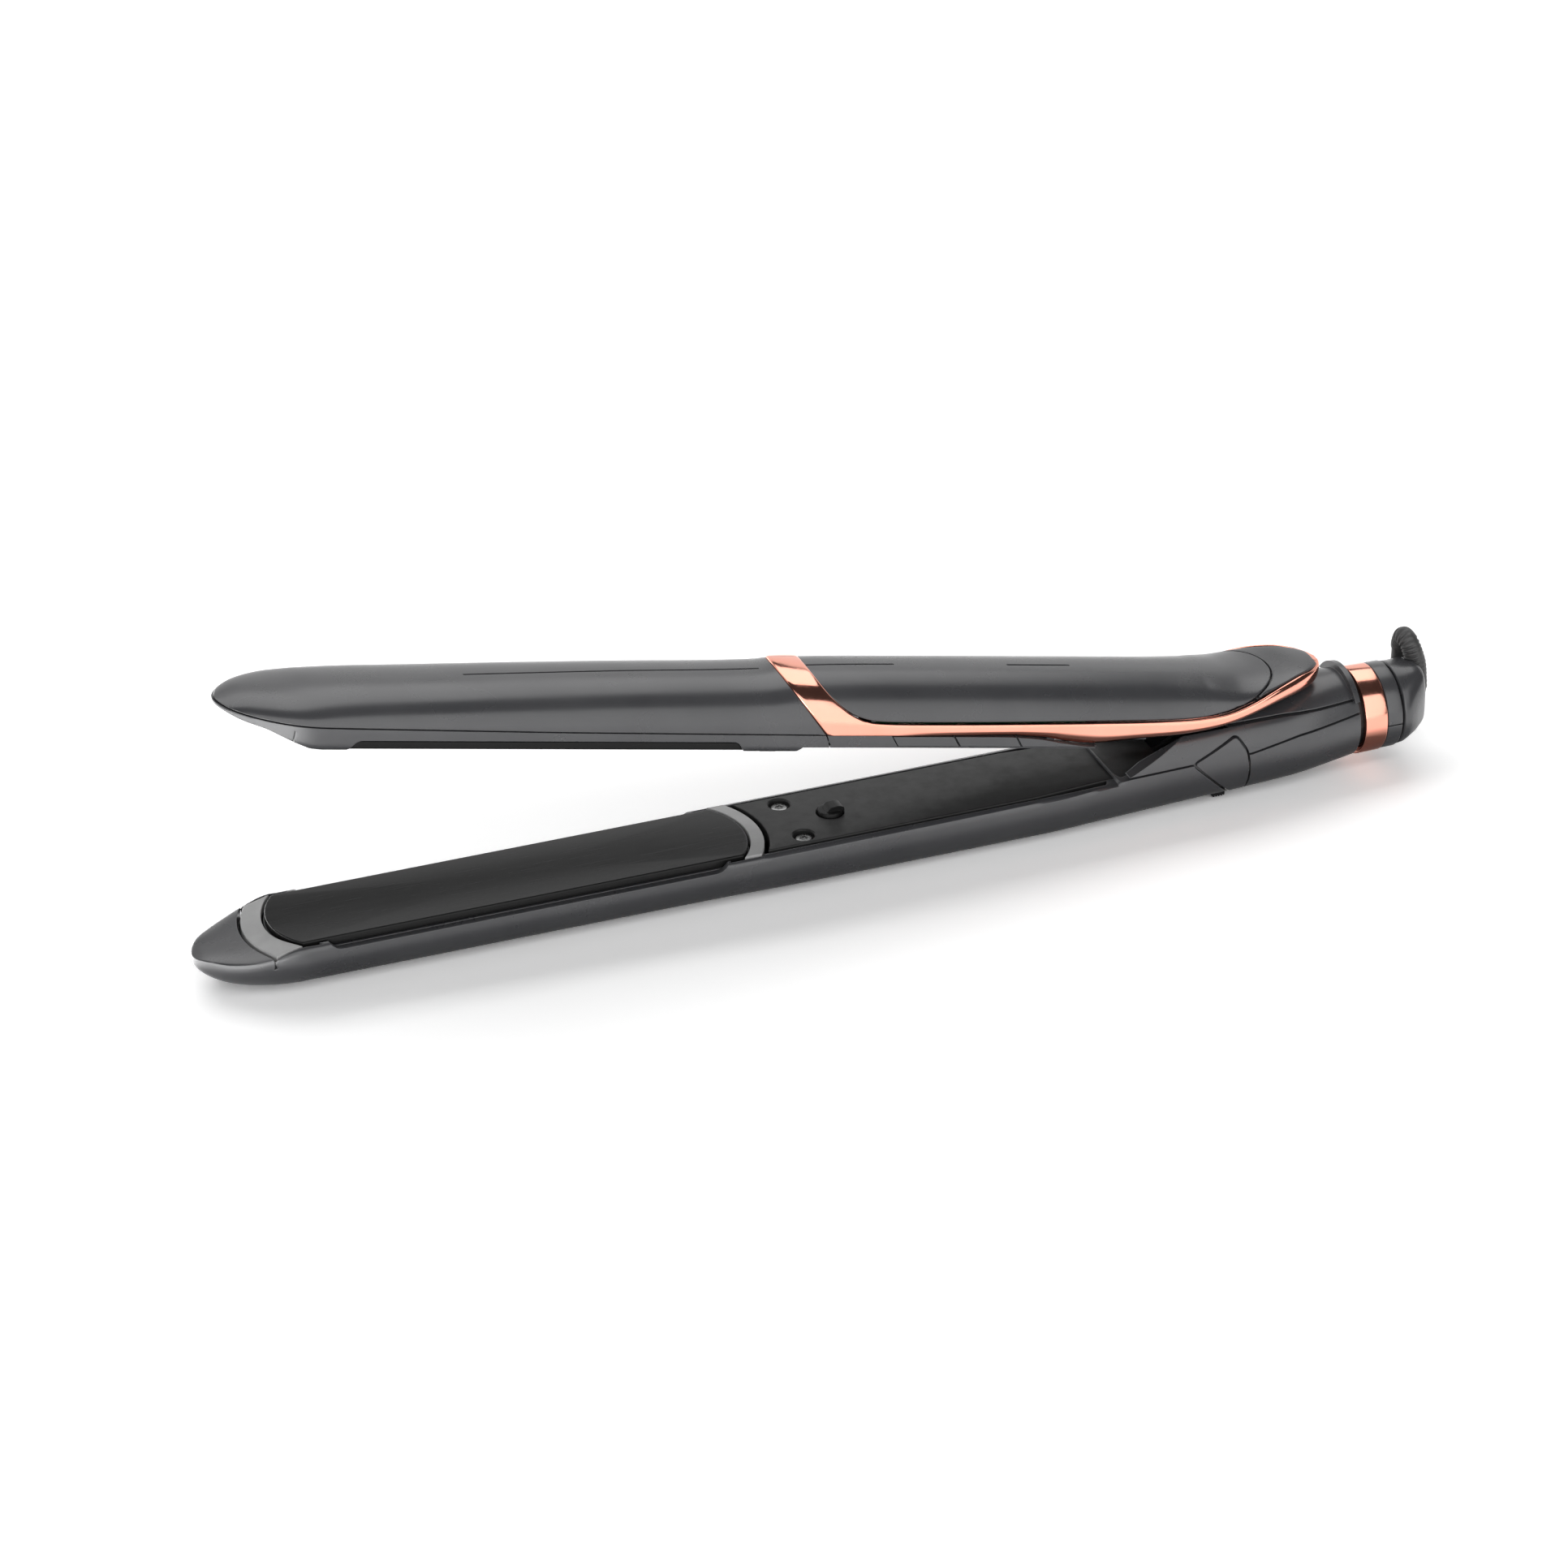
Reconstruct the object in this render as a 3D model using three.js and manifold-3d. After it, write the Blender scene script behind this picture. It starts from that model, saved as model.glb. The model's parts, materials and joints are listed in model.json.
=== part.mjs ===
// Hair straightener (flat iron): two hinged arms with sprung heating plates, a button strip
// on the upper handle, a slide lock under the hinge and a cord on a swivel.
// Millimetres. The origin is the middle of the flat that it rests on, under the lower arm; +X runs
// from the nose to the cord, +Y across the arms and +Z up. The upper arm is shown sprung open.
//
// Every piece is drawn in arm coordinates: x from the front corners of the heating plates,
// z from the plane where the closed plates meet. Two groups move that frame onto the hinge.
import * as THREE from 'three';
import { mergeVertices } from 'three/addons/utils/BufferGeometryUtils.js';
import Module from 'manifold-3d';

const wasm = await Module();
wasm.setup();

// ---------------------------------------------------------------- driving dimensions
const ORIGIN = { x: 152, z: -15.1 };
const HINGE = { x: 244, z: -3.5 };
const OPEN_ANGLE = THREE.MathUtils.degToRad(11.8);
const GAP = 0.3;

const PLATE = { length: 110, halfWidth: 12, thickness: 2, frontBulge: 4.8, rearBulge: 4.5 };
const NOSE = 23.4;
const HALF_WIDTH = 14.2;
const WALL = 1.6;
const HUB_WALL = 2.4;
const SIDE = 30;

const LOWER_TIP_Z = -5.8;
const UPPER_TIP_Z = 6.8;
const NOSE_KNEE = { x: -13.5, z: 5.0 };
const NOSE_SLOPE_START = { x: -1, z: 0.2 };
const FRONT_INSULATOR_REACH = 5.7;
const REAR_INSULATOR_REACH = 3.7;
const INSULATOR_HALF_WIDTH = { front: 12.3, rear: 12.9 };
const POCKET_HALF_WIDTH = { front: 12.7, rear: 13.2 };
const WELL = { depth: 5.7, springDepth: 9.4, springHalfWidth: 6, springEnd: 14 };

const RIM = { low: 2.6, front: 5.6, rear: 106, bevel: 2.4 };
const COVER = { top: -0.35, thickness: 2.6, halfWidth: 11.8, front: 119.6, rear: 222 };
const SCREW = { x: 127, y: 8, headRadius: 2.3, shankRadius: 1.2 };
const BUMPER_X = 137;

const UPPER_WAIST = 6.1;
const BAND_FOOT_X = 126;
const RAIL_Z = 5.3;
const STRIP_BOTTOM = 2.1;
const BUTTON_EDGES = [143, 159.5, 176, 196];
const BUTTON_SLANT = 2.4;
const TAIL_END = 261;
const TAIL_START = 228;
const TAIL_GROOVE = { x: 234.7, radius: 13.5 };

const HUB = { front: 204, rear: 273.4, halfWidth: 13.1, top: 9.6 };
const RING = { front: 274.9, rear: 280.8, radius: 11, bore: 9.7, z: -0.4 };
const END_CAP_REAR = 285.0;
const SWIVEL_FRONT = 285.7;
const COLLAR = { front: 271.9, rear: 273.3, proud: 1.6 };
const PIN_RADIUS = 2;

const ARC_STEPS = 10;
const ROUND = 28;

// ---------------------------------------------------------------- materials
function finish(color, roughness, metalness) {
  return new THREE.MeshStandardMaterial({ color, roughness, metalness });
}
const softTouch = finish(0x3c3d42, 0.62, 0);
const innerPlastic = finish(0x1d1d20, 0.5, 0);
const ceramicBlack = finish(0x101013, 0.38, 0.3);
const insulatorGrey = finish(0x8b8c92, 0.55, 0);
const roseGold = finish(0xe09a78, 0.16, 1);
const steel = finish(0xb8babd, 0.3, 1);
const heaterWhite = finish(0xd8d4c8, 0.8, 0);
const boardGreen = finish(0x1f5b3a, 0.6, 0);
const rubberBlack = finish(0x151517, 0.8, 0);

// ---------------------------------------------------------------- solids
function solidOf(geometry) {
  const bare = geometry.clone();
  for (const name of Object.keys(bare.attributes)) {
    if (name !== 'position') bare.deleteAttribute(name);
  }
  const merged = mergeVertices(bare, 1e-4);
  return new wasm.Manifold(new wasm.Mesh({
    numProp: 3,
    vertProperties: new Float32Array(merged.attributes.position.array),
    triVerts: new Uint32Array(merged.index.array),
  }));
}

function geometryOf(solid) {
  const mesh = solid.getMesh();
  const geometry = new THREE.BufferGeometry();
  geometry.setAttribute('position', new THREE.BufferAttribute(mesh.vertProperties, 3));
  geometry.setIndex(new THREE.BufferAttribute(mesh.triVerts, 1));
  geometry.computeVertexNormals();
  return geometry;
}

// A closed skin through rings of equal length, with a fan over each end.
function skin(rings) {
  const count = rings[0].length;
  const points = rings.flat();
  const faces = [];
  for (let r = 0; r + 1 < rings.length; r += 1) {
    for (let i = 0; i < count; i += 1) {
      const a = r * count + i;
      const b = r * count + (i + 1) % count;
      faces.push(a, b, a + count, b, b + count, a + count);
    }
  }
  for (const [start, flip] of [[0, true], [(rings.length - 1) * count, false]]) {
    const middle = new THREE.Vector3();
    for (let i = 0; i < count; i += 1) middle.addScaledVector(points[start + i], 1 / count);
    const hub = points.push(middle) - 1;
    for (let i = 0; i < count; i += 1) {
      const a = start + i;
      const b = start + (i + 1) % count;
      faces.push(...(flip ? [hub, b, a] : [hub, a, b]));
    }
  }
  let volume = 0;
  for (let i = 0; i < faces.length; i += 3) {
    const [a, b, c] = [points[faces[i]], points[faces[i + 1]], points[faces[i + 2]]];
    volume += a.dot(b.clone().cross(c));
  }
  if (volume < 0) faces.reverse();
  const geometry = new THREE.BufferGeometry().setFromPoints(points);
  geometry.setIndex(faces);
  return solidOf(geometry);
}

// One cross-section: half-width, top, bottom and the height of its widest line. The two
// powers set how square the upper and the lower half are.
function crossSection({ x, w, top, bottom, waist, up = 2.3, down = 2.1 }) {
  const ring = [];
  const steps = 2 * ARC_STEPS;
  for (let i = 0; i < 2 * steps; i += 1) {
    const angle = Math.PI * i / steps;
    const [c, s] = [Math.cos(angle), Math.sin(angle)];
    const power = 2 / (s >= 0 ? up : down);
    const reach = s >= 0 ? top - waist : waist - bottom;
    const y = w * Math.sign(c) * Math.abs(c) ** power;
    const z = waist + reach * Math.sign(s) * Math.abs(s) ** power;
    ring.push(new THREE.Vector3(x, y, z));
  }
  return ring;
}

function shell(sections, grow = 0) {
  return skin(sections.map((s) => crossSection({
    ...s, w: Math.max(s.w + grow, 0.2), top: s.top + grow, bottom: s.bottom - grow,
  })));
}

function extrude(outline, depth) {
  const shape = outline instanceof THREE.Shape ? outline
    : new THREE.Shape(outline.map(([a, b]) => new THREE.Vector2(a, b)));
  return new THREE.ExtrudeGeometry(shape, { depth, bevelEnabled: false, curveSegments: 16 });
}

// A side-view outline in x and z, running across y.
function sidePrism(outline, y0 = -SIDE, y1 = SIDE) {
  const geometry = extrude(outline, y1 - y0);
  geometry.rotateX(Math.PI / 2);
  geometry.translate(0, y1, 0);
  return solidOf(geometry);
}

// A plan outline in x and y, running up z.
function planPrism(outline, z0, z1) {
  const geometry = extrude(outline, z1 - z0);
  geometry.translate(0, 0, z0);
  return solidOf(geometry);
}

function block(x0, x1, y0, y1, z0, z1) {
  const geometry = new THREE.BoxGeometry(x1 - x0, y1 - y0, z1 - z0);
  geometry.translate((x0 + x1) / 2, (y0 + y1) / 2, (z0 + z1) / 2);
  return solidOf(geometry);
}

function rod(axis, radius, from, to, at = [0, 0], sides = ROUND) {
  const geometry = new THREE.CylinderGeometry(radius, radius, to - from, sides);
  geometry.translate(0, (from + to) / 2, 0);
  if (axis === 'x') {
    geometry.rotateZ(-Math.PI / 2);
    geometry.translate(0, at[0], at[1]);
  } else if (axis === 'y') {
    geometry.translate(at[0], 0, at[1]);
  } else {
    geometry.rotateX(Math.PI / 2);
    geometry.translate(at[0], at[1], 0);
  }
  return solidOf(geometry);
}

// A tube along a curve whose radius may change along it.
function sweep(curve, radiusAt, steps, sides) {
  const frames = curve.computeFrenetFrames(steps, false);
  const rings = [];
  for (let i = 0; i <= steps; i += 1) {
    const centre = curve.getPointAt(i / steps);
    const radius = radiusAt(i / steps);
    const ring = [];
    for (let k = 0; k < sides; k += 1) {
      const angle = 2 * Math.PI * k / sides;
      ring.push(centre.clone()
        .addScaledVector(frames.normals[i], radius * Math.cos(angle))
        .addScaledVector(frames.binormals[i], radius * Math.sin(angle)));
    }
    rings.push(ring);
  }
  return skin(rings);
}

function unite(first, ...others) {
  return others.reduce((sum, next) => sum.add(next), first);
}

function mirrorZ(points) {
  return points.map(([x, z]) => [x, -z]);
}

// A strip of even width along a side-view line, used to open a seam between two pieces.
function seam(line, width = GAP) {
  const half = width / 2;
  const offset = (side) => line.map(([x, z], i) => {
    const [x0, z0] = line[Math.max(i - 1, 0)];
    const [x1, z1] = line[Math.min(i + 1, line.length - 1)];
    const length = Math.hypot(x1 - x0, z1 - z0);
    return [x - side * half * (z1 - z0) / length, z + side * half * (x1 - x0) / length];
  });
  return sidePrism([...offset(1), ...offset(-1).reverse()]);
}

// ---------------------------------------------------------------- shared outlines
function arcCentre(bulge, corner, direction) {
  const radius = (PLATE.halfWidth ** 2 + bulge ** 2) / (2 * bulge);
  return { x: corner + direction * (bulge - radius), radius };
}
const FRONT_ARC = arcCentre(PLATE.frontBulge, 0, -1);
const REAR_ARC = arcCentre(PLATE.rearBulge, PLATE.length, 1);

// Points along an arc about (arc.x, 0), from -halfWidth to +halfWidth, bulging to one side.
function arcPoints(arc, radius, halfWidth, direction, steps = 10) {
  const reach = Math.asin(Math.min(1, halfWidth / radius));
  const points = [];
  for (let i = 0; i <= steps; i += 1) {
    const angle = -reach + 2 * reach * i / steps;
    points.push([arc.x + direction * radius * Math.cos(angle), radius * Math.sin(angle)]);
  }
  return points;
}

function plateOutline(grow) {
  const half = PLATE.halfWidth + grow;
  const front = arcPoints(FRONT_ARC, FRONT_ARC.radius + grow, half, -1);
  const rear = arcPoints(REAR_ARC, REAR_ARC.radius + grow, half, 1);
  return [...rear, ...front.reverse()];
}

function crescentOutline(arc, direction, inner, outer, halfWidth) {
  const near = arcPoints(arc, arc.radius + inner, Math.min(halfWidth, arc.radius), direction);
  const far = arcPoints(arc, arc.radius + outer, halfWidth, direction);
  return [...near, ...far.reverse()];
}

// Share of the full width left at x, which narrows to the tip in plan.
function noseWidth(x) {
  return (1 - (-x / NOSE) ** 1.8) ** 0.55;
}

function noseStations(tipZ, waist, rim, back) {
  const stations = [];
  for (const t of [0.03, 0.18, 0.36, 0.56, 0.78]) {
    const x = -NOSE * Math.cos(t * Math.PI / 2);
    const full = Math.sqrt(1 - (x / NOSE) ** 2);
    stations.push({ x, full });
  }
  return stations.map(({ x, full }) => ({
    x,
    w: HALF_WIDTH * noseWidth(x),
    top: THREE.MathUtils.lerp(tipZ + 0.4, rim, full),
    bottom: THREE.MathUtils.lerp(tipZ - 0.4, back, full),
    waist: THREE.MathUtils.lerp(tipZ, waist, full),
  }));
}

// The nose face under the plates, as a side-view line from the tip to the plate ends.
function noseLine(tipZ) {
  const sign = Math.sign(tipZ);
  return [
    [-NOSE - 1, tipZ], [-NOSE, tipZ - sign * 0.3], [NOSE_KNEE.x, sign * NOSE_KNEE.z],
    [NOSE_SLOPE_START.x, sign * NOSE_SLOPE_START.z],
  ];
}

// Height of the sloping nose face of the lower arm.
function noseFaceZ(x) {
  const t = (x - NOSE_KNEE.x) / (NOSE_SLOPE_START.x - NOSE_KNEE.x);
  return -THREE.MathUtils.lerp(NOSE_KNEE.z, NOSE_SLOPE_START.z, t) - 0.1;
}

// ---------------------------------------------------------------- pieces shared by both arms
// They are drawn for the lower arm and turned over for the upper one with flip = -1.
function flipZ(solid, flip) {
  return flip < 0 ? solid.mirror([0, 0, 1]) : solid;
}

function heatingPlate(flip) {
  const plate = planPrism(plateOutline(0), -PLATE.thickness - 0.15, -0.15);
  const rib = block(10, PLATE.length - 10, -7, 7, -3.2, -PLATE.thickness);
  return flipZ(plate.add(rib), flip);
}

function plateCarrier(flip) {
  const outline = plateOutline(GAP);
  const tray = planPrism(outline, -5, -2.45);
  const window = block(6, PLATE.length - 6, -9, 9, -4.2, 0);
  return flipZ(tray.subtract(window), flip);
}

function heater(flip) {
  return flipZ(block(14, PLATE.length - 14, -6, 6, -4, -3.45), flip);
}

// A leaf spring under the carrier: a clip in the middle and two bowed legs.
function floatSpring(flip) {
  const bow = [[22, -5.3], [55, -5.3], [88, -5.3], [88, -5.8], [78, -8.2], [68, -5.8],
    [42, -5.8], [32, -8.2], [22, -5.8]];
  return flipZ(sidePrism(bow, -3, 3), flip);
}

function frontInsulator(flip) {
  const plan = planPrism(
    crescentOutline(FRONT_ARC, -1, 0.4, FRONT_INSULATOR_REACH, INSULATOR_HALF_WIDTH.front), -9, 1);
  const [start, end] = [NOSE_SLOPE_START.x, NOSE_KNEE.x];
  const wedge = sidePrism([[end, noseFaceZ(end)], [start, noseFaceZ(start)], [6, noseFaceZ(start)],
    [6, -2.2], [start, -2.2], [end, noseFaceZ(end) - 2]]);
  return flipZ(plan.intersect(wedge), flip);
}

function rearInsulator(flip) {
  const outline = crescentOutline(REAR_ARC, 1, 0.4, REAR_INSULATOR_REACH, INSULATOR_HALF_WIDTH.rear);
  return flipZ(planPrism(outline, -2.2, -0.25), flip);
}

// Room for the plate, the carrier and both insulators.
function plateWell(flip) {
  const { depth, springDepth, springHalfWidth, springEnd } = WELL;
  const well = planPrism(plateOutline(2 * GAP), -depth, 1)
    .add(block(springEnd, PLATE.length - springEnd, -springHalfWidth, springHalfWidth, -springDepth, -depth + 1));
  const frontSeat = planPrism(
    crescentOutline(FRONT_ARC, -1, -2, FRONT_INSULATOR_REACH + 2 * GAP, POCKET_HALF_WIDTH.front), -20, 1);
  const seatCut = sidePrism([[-15, noseFaceZ(-15) - 2.5], [NOSE_SLOPE_START.x, -2.7], [6, -2.7],
    [6, 2], [-15, 2]]);
  const rearSeat = planPrism(
    crescentOutline(REAR_ARC, 1, -2, REAR_INSULATOR_REACH + 2 * GAP, POCKET_HALF_WIDTH.rear), -2.7, 1);
  return flipZ(unite(well, frontSeat.intersect(seatCut), rearSeat), flip);
}

function rimCut(flip) {
  const { low, front, rear, bevel } = RIM;
  const outline = [[front, 1], [front + bevel, -low], [rear - bevel, -low], [rear, 1]];
  return sidePrism(flip < 0 ? mirrorZ(outline) : outline);
}

function coverScrew(y, flip) {
  const head = rod('z', SCREW.headRadius, -1.6, -0.9, [SCREW.x, y], 20);
  const socket = rod('z', 1.0, -1.3, 0, [SCREW.x, y], 6);
  const shank = rod('z', SCREW.shankRadius, -8, -1.55, [SCREW.x, y], 16);
  return flipZ(head.add(shank).subtract(socket), flip);
}

function screwHoles(z) {
  const holes = [];
  for (const y of [-SCREW.y, SCREW.y]) {
    holes.push(rod('z', SCREW.headRadius + GAP, z - 1.3, 1, [SCREW.x, y], 24));
    holes.push(rod('z', SCREW.shankRadius + GAP, z - 12, 1, [SCREW.x, y], 16));
  }
  return unite(...holes);
}

// ---------------------------------------------------------------- lower arm
const HUB_SEAM = [[190, 0.5], [243, 0.5], [256, 2.6], [280, 4.6]];
const HUB_TOP_LINE = [[200, 7.6], [280, 7.0]];
const CHEEK_EDGE = [[209.3, 0.5], [231.5, 9.6]];

const lowerStations = [
  ...noseStations(LOWER_TIP_Z, -4.2, -0.4, -14.6),
  { x: 0, w: HALF_WIDTH, top: -0.5, bottom: -14.7, waist: -3.6, up: 8 },
  { x: 100, w: HALF_WIDTH, top: -0.5, bottom: -14.9, waist: -3.6, up: 8 },
  { x: 130, w: HALF_WIDTH, top: -0.5, bottom: -15.4, waist: -3.4, up: 8 },
  { x: 190, w: HALF_WIDTH, top: -0.4, bottom: -15.4, waist: -2.6, up: 8 },
  { x: HUB.front, w: 13.9, top: -0.4, bottom: -15.1, waist: -1.6, up: 8 },
  { x: HUB.front + 1.5, w: 13.7, top: HUB.top, bottom: -15, waist: -1.4 },
  { x: 232, w: HUB.halfWidth, top: HUB.top, bottom: -14.3, waist: -0.6 },
  { x: 256, w: 12.8, top: HUB.top, bottom: -13.3, waist: -0.5 },
  { x: 268, w: 11.6, top: HUB.top + 0.4, bottom: -12, waist: -0.4, up: 2.1 },
  { x: HUB.rear, w: RING.radius - 0.1, top: 10.5, bottom: -11.3, waist: -0.4, up: 2, down: 2 },
];

function lowerHull(grow) {
  return shell(lowerStations, grow);
}

function lowerCavity() {
  const stations = lowerStations.filter((s) => s.x > -12 && s.x < 270).map((s) => ({
    ...s,
    w: s.w - (s.x < HUB.front ? WALL : HUB_WALL),
    bottom: s.bottom + (s.x < HUB.front ? WALL : HUB_WALL),
    top: s.x < HUB.front + 1 ? 3 : s.top - WALL,
  }));
  return shell(stations);
}

// Everything above a side-view line.
function above(line, top = SIDE) {
  const [first, last] = [line[0], line[line.length - 1]];
  return sidePrism([...line, [last[0], top], [first[0], top]]);
}

function below(line) {
  return above(line, -SIDE);
}

const cheekCut = sidePrism([[195, 0.5], ...CHEEK_EDGE, [240, SIDE], [195, SIDE]]);

// The wrap-around cover under the hinge: a kite on each side, joined by a band below.
const SADDLE = [[227.5, 0.6], [239.2, 5.2], [241.4, 1.5], [242.2, -3], [242.7, -9], [244.6, -20],
  [241.2, -20], [240.8, -13]];
const SADDLE_SKIN = 1.1;

// A closed outline with every edge moved outwards, its corners mitred.
function growOutline(outline, amount) {
  const count = outline.length;
  return outline.map(([x, z], i) => {
    const [x0, z0] = outline[(i + count - 1) % count];
    const [x1, z1] = outline[(i + 1) % count];
    const before = new THREE.Vector2(z0 - z, x - x0).normalize();
    const after = new THREE.Vector2(z - z1, x1 - x).normalize();
    const bisector = before.clone().add(after).normalize();
    const reach = amount / bisector.dot(after);
    return [x + bisector.x * reach, z + bisector.y * reach];
  });
}

function saddleZone(grow) {
  return sidePrism(growOutline(SADDLE, grow));
}

function saddleSeat() {
  return lowerHull(2).subtract(lowerHull(-SADDLE_SKIN - GAP)).intersect(saddleZone(0.5));
}

function hingeSaddle() {
  return lowerHull(0).subtract(lowerHull(-SADDLE_SKIN)).intersect(saddleZone(0));
}

function hingeBosses() {
  const near = rod('y', 4.6, -12.4, -8.8, [HINGE.x, HINGE.z]);
  const far = rod('y', 4.6, 8.8, 12.4, [HINGE.x, HINGE.z]);
  return near.add(far).intersect(lowerHull(-1.6)).intersect(below(HUB_SEAM.map(([x, z]) => [x, z - GAP])));
}

function screwPosts() {
  const top = COVER.top - COVER.thickness - GAP;
  const posts = [-SCREW.y, SCREW.y].map((y) => rod('z', 3, -16, top, [SCREW.x, y], 20));
  return unite(...posts).intersect(lowerHull(-0.4));
}

const LOCK = { front: 236.6, rear: 240, halfWidth: 4.4, travel: 4, proud: 0.9, belly: -14.1 };

function lockSlot() {
  return block(LOCK.front - LOCK.travel - GAP, LOCK.rear + 2 * GAP, -LOCK.halfWidth - GAP,
    LOCK.halfWidth + GAP, -SIDE, -9);
}

function lockSlider() {
  const { front, rear, halfWidth, travel, proud, belly } = LOCK;
  const knob = block(front, rear, -halfWidth, halfWidth, belly - proud, -9.9);
  const foot = block(front - 2, rear + 1, -halfWidth - 1, halfWidth + 1, -10, -9.3);
  const hook = sidePrism([[rear - 2, -9.4], [rear - 0.6, -9.4], [rear - 0.6, -8.4],
    [rear - 4, -8.4], [rear - 4, -9.1], [rear - 2, -9.1]], -2, 2);
  return unite(knob, foot, hook);
}

function lowerHousing() {
  const belowSeam = below(HUB_SEAM.map(([x, z]) => [x, z - GAP / 2]));
  const frontPart = block(-40, 192, -SIDE, SIDE, -SIDE, 2);
  const hull = lowerHull(0).intersect(frontPart.add(belowSeam));
  const pinBore = rod('y', PIN_RADIUS + GAP, -11.5, 11.5, [HINGE.x, HINGE.z]);
  return hull.subtract(above(noseLine(LOWER_TIP_Z), 5)).subtract(lowerCavity())
    .add(hingeBosses()).add(screwPosts())
    .subtract(unite(plateWell(1), rimCut(1), screwHoles(COVER.top), pinBore, saddleSeat(), lockSlot(),
      socketBore(), restCut()));
}

// Leaves the flat along the belly that the straightener rests on.
function restCut() {
  return block(-40, 300, -SIDE, SIDE, -SIDE, ORIGIN.z);
}

function socketBore() {
  return rod('x', RING.bore, 265.8, 280, [0, RING.z]);
}

function hubFrame() {
  const hull = lowerHull(0).subtract(cheekCut);
  const band = hull.intersect(above(HUB_SEAM.map(([x, z]) => [x, z + GAP / 2])))
    .intersect(below(HUB_TOP_LINE.map(([x, z]) => [x, z - GAP / 2])));
  const cavity = lowerCavity().subtract(block(262, 265.8, -SIDE, SIDE, -SIDE, SIDE));
  const mouth = block(190, 238, -9.5, 9.5, 2, SIDE);
  return band.subtract(cavity).subtract(unite(saddleSeat(), socketBore(), mouth));
}

function hubTopCover() {
  const crown = lowerHull(0).intersect(above(HUB_TOP_LINE.map(([x, z]) => [x, z + GAP / 2])))
    .subtract(lowerCavity()).subtract(block(190, 238, -SIDE, SIDE, -SIDE, SIDE));
  const lip = lowerHull(COLLAR.proud).subtract(lowerHull(-0.5))
    .intersect(block(COLLAR.front, COLLAR.rear, -SIDE, SIDE, 0, SIDE))
    .intersect(above(HUB_TOP_LINE.map(([x, z]) => [x, z + GAP])));
  return crown.add(lip).subtract(socketBore());
}

function lowerInnerCover() {
  const { top, thickness, halfWidth, front, rear } = COVER;
  const edge = arcPoints(REAR_ARC, front - REAR_ARC.x, halfWidth, 1);
  const narrow = halfWidth - 1.4;
  const outline = [...edge, [186, halfWidth], [HUB.front, narrow], [rear, narrow], [rear, -narrow],
    [HUB.front, -narrow], [186, -halfWidth]];
  const recess = rod('z', 3, top - 1.2, top + 1, [BUMPER_X, 0], 20);
  return planPrism(outline, top - thickness, top).subtract(screwHoles(top)).subtract(recess);
}

function closingBumper() {
  const base = rod('z', 2.2, COVER.top - 0.9, 0.6, [BUMPER_X + 0.4, 0], 20);
  const point = sidePrism([[BUMPER_X - 1.8, 0], [BUMPER_X + 2.6, 0], [BUMPER_X + 1.6, 1.6],
    [BUMPER_X - 0.6, 1.6]], -1.4, 1.4);
  return base.add(point);
}

function hingePin() {
  return rod('y', PIN_RADIUS, -11.2, 11.2, [HINGE.x, HINGE.z]);
}

// A torsion spring round the pin, with one leg forward along each arm.
function hingeSpring() {
  const [turns, coil, wire, pitch] = [4, 3.4, 0.45, 1.3];
  const points = [new THREE.Vector3(HINGE.x - 16, -turns * pitch / 2 - 0.2, HINGE.z - 3.4)];
  const stepsPerTurn = 12;
  for (let i = 0; i <= turns * stepsPerTurn; i += 1) {
    const angle = -Math.PI / 2 - 2 * Math.PI * i / stepsPerTurn;
    points.push(new THREE.Vector3(HINGE.x + coil * Math.cos(angle),
      -turns * pitch / 2 + pitch * i / stepsPerTurn, HINGE.z + coil * Math.sin(angle)));
  }
  const curve = new THREE.CatmullRomCurve3(points);
  return sweep(curve, () => wire, 90, 6);
}

function ringAt(from, to, outer, inner) {
  return rod('x', outer, from, to, [0, RING.z]).subtract(rod('x', inner, from - 1, to + 1, [0, RING.z]));
}

function trimRing() {
  return ringAt(RING.front, RING.rear, RING.radius, RING.bore);
}

function endCapHalf(side) {
  const half = side > 0 ? block(270, 300, -SIDE, SIDE, RING.z + GAP / 2, SIDE)
    : block(270, 300, -SIDE, SIDE, -SIDE, RING.z - GAP / 2);
  return ringAt(RING.rear + GAP, END_CAP_REAR, RING.radius - 0.3, RING.bore).intersect(half);
}

function cordSocket() {
  const tube = ringAt(269, END_CAP_REAR - 0.3, RING.bore - GAP, 6);
  const flange = ringAt(266.4, 269, 9, 6);
  return tube.add(flange);
}

// The swivel is a round collar that tapers to a rounded block: half-width, rise, drop and power.
const SWIVEL_SECTIONS = [
  [SWIVEL_FRONT, 9.9, 9.9, 9.9, 2.0], [SWIVEL_FRONT + 0.4, 10.4, 10.4, 10.4, 2.0],
  [287.2, 10.35, 10.35, 10.3, 2.0], [288.2, 10.0, 10.3, 9.5, 2.1], [290.5, 8.3, 10.2, 7.6, 2.7],
  [292.4, 6.7, 10.0, 6.0, 3.2], [293.2, 6.0, 9.7, 5.3, 3.4], [293.7, 4.9, 8.7, 4.3, 3.4],
];

function swivelCap() {
  const body = shell(SWIVEL_SECTIONS.map(([x, w, rise, drop, power]) => ({
    x, w, top: RING.z + rise, bottom: RING.z - drop, waist: RING.z, up: power, down: power,
  })));
  const stub = rod('x', 5.6, 271, SWIVEL_FRONT + 0.5, [0, RING.z])
    .subtract(rod('x', 4, 270, 272, [0, RING.z]));
  return body.add(stub).subtract(reliefSocket());
}

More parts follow.
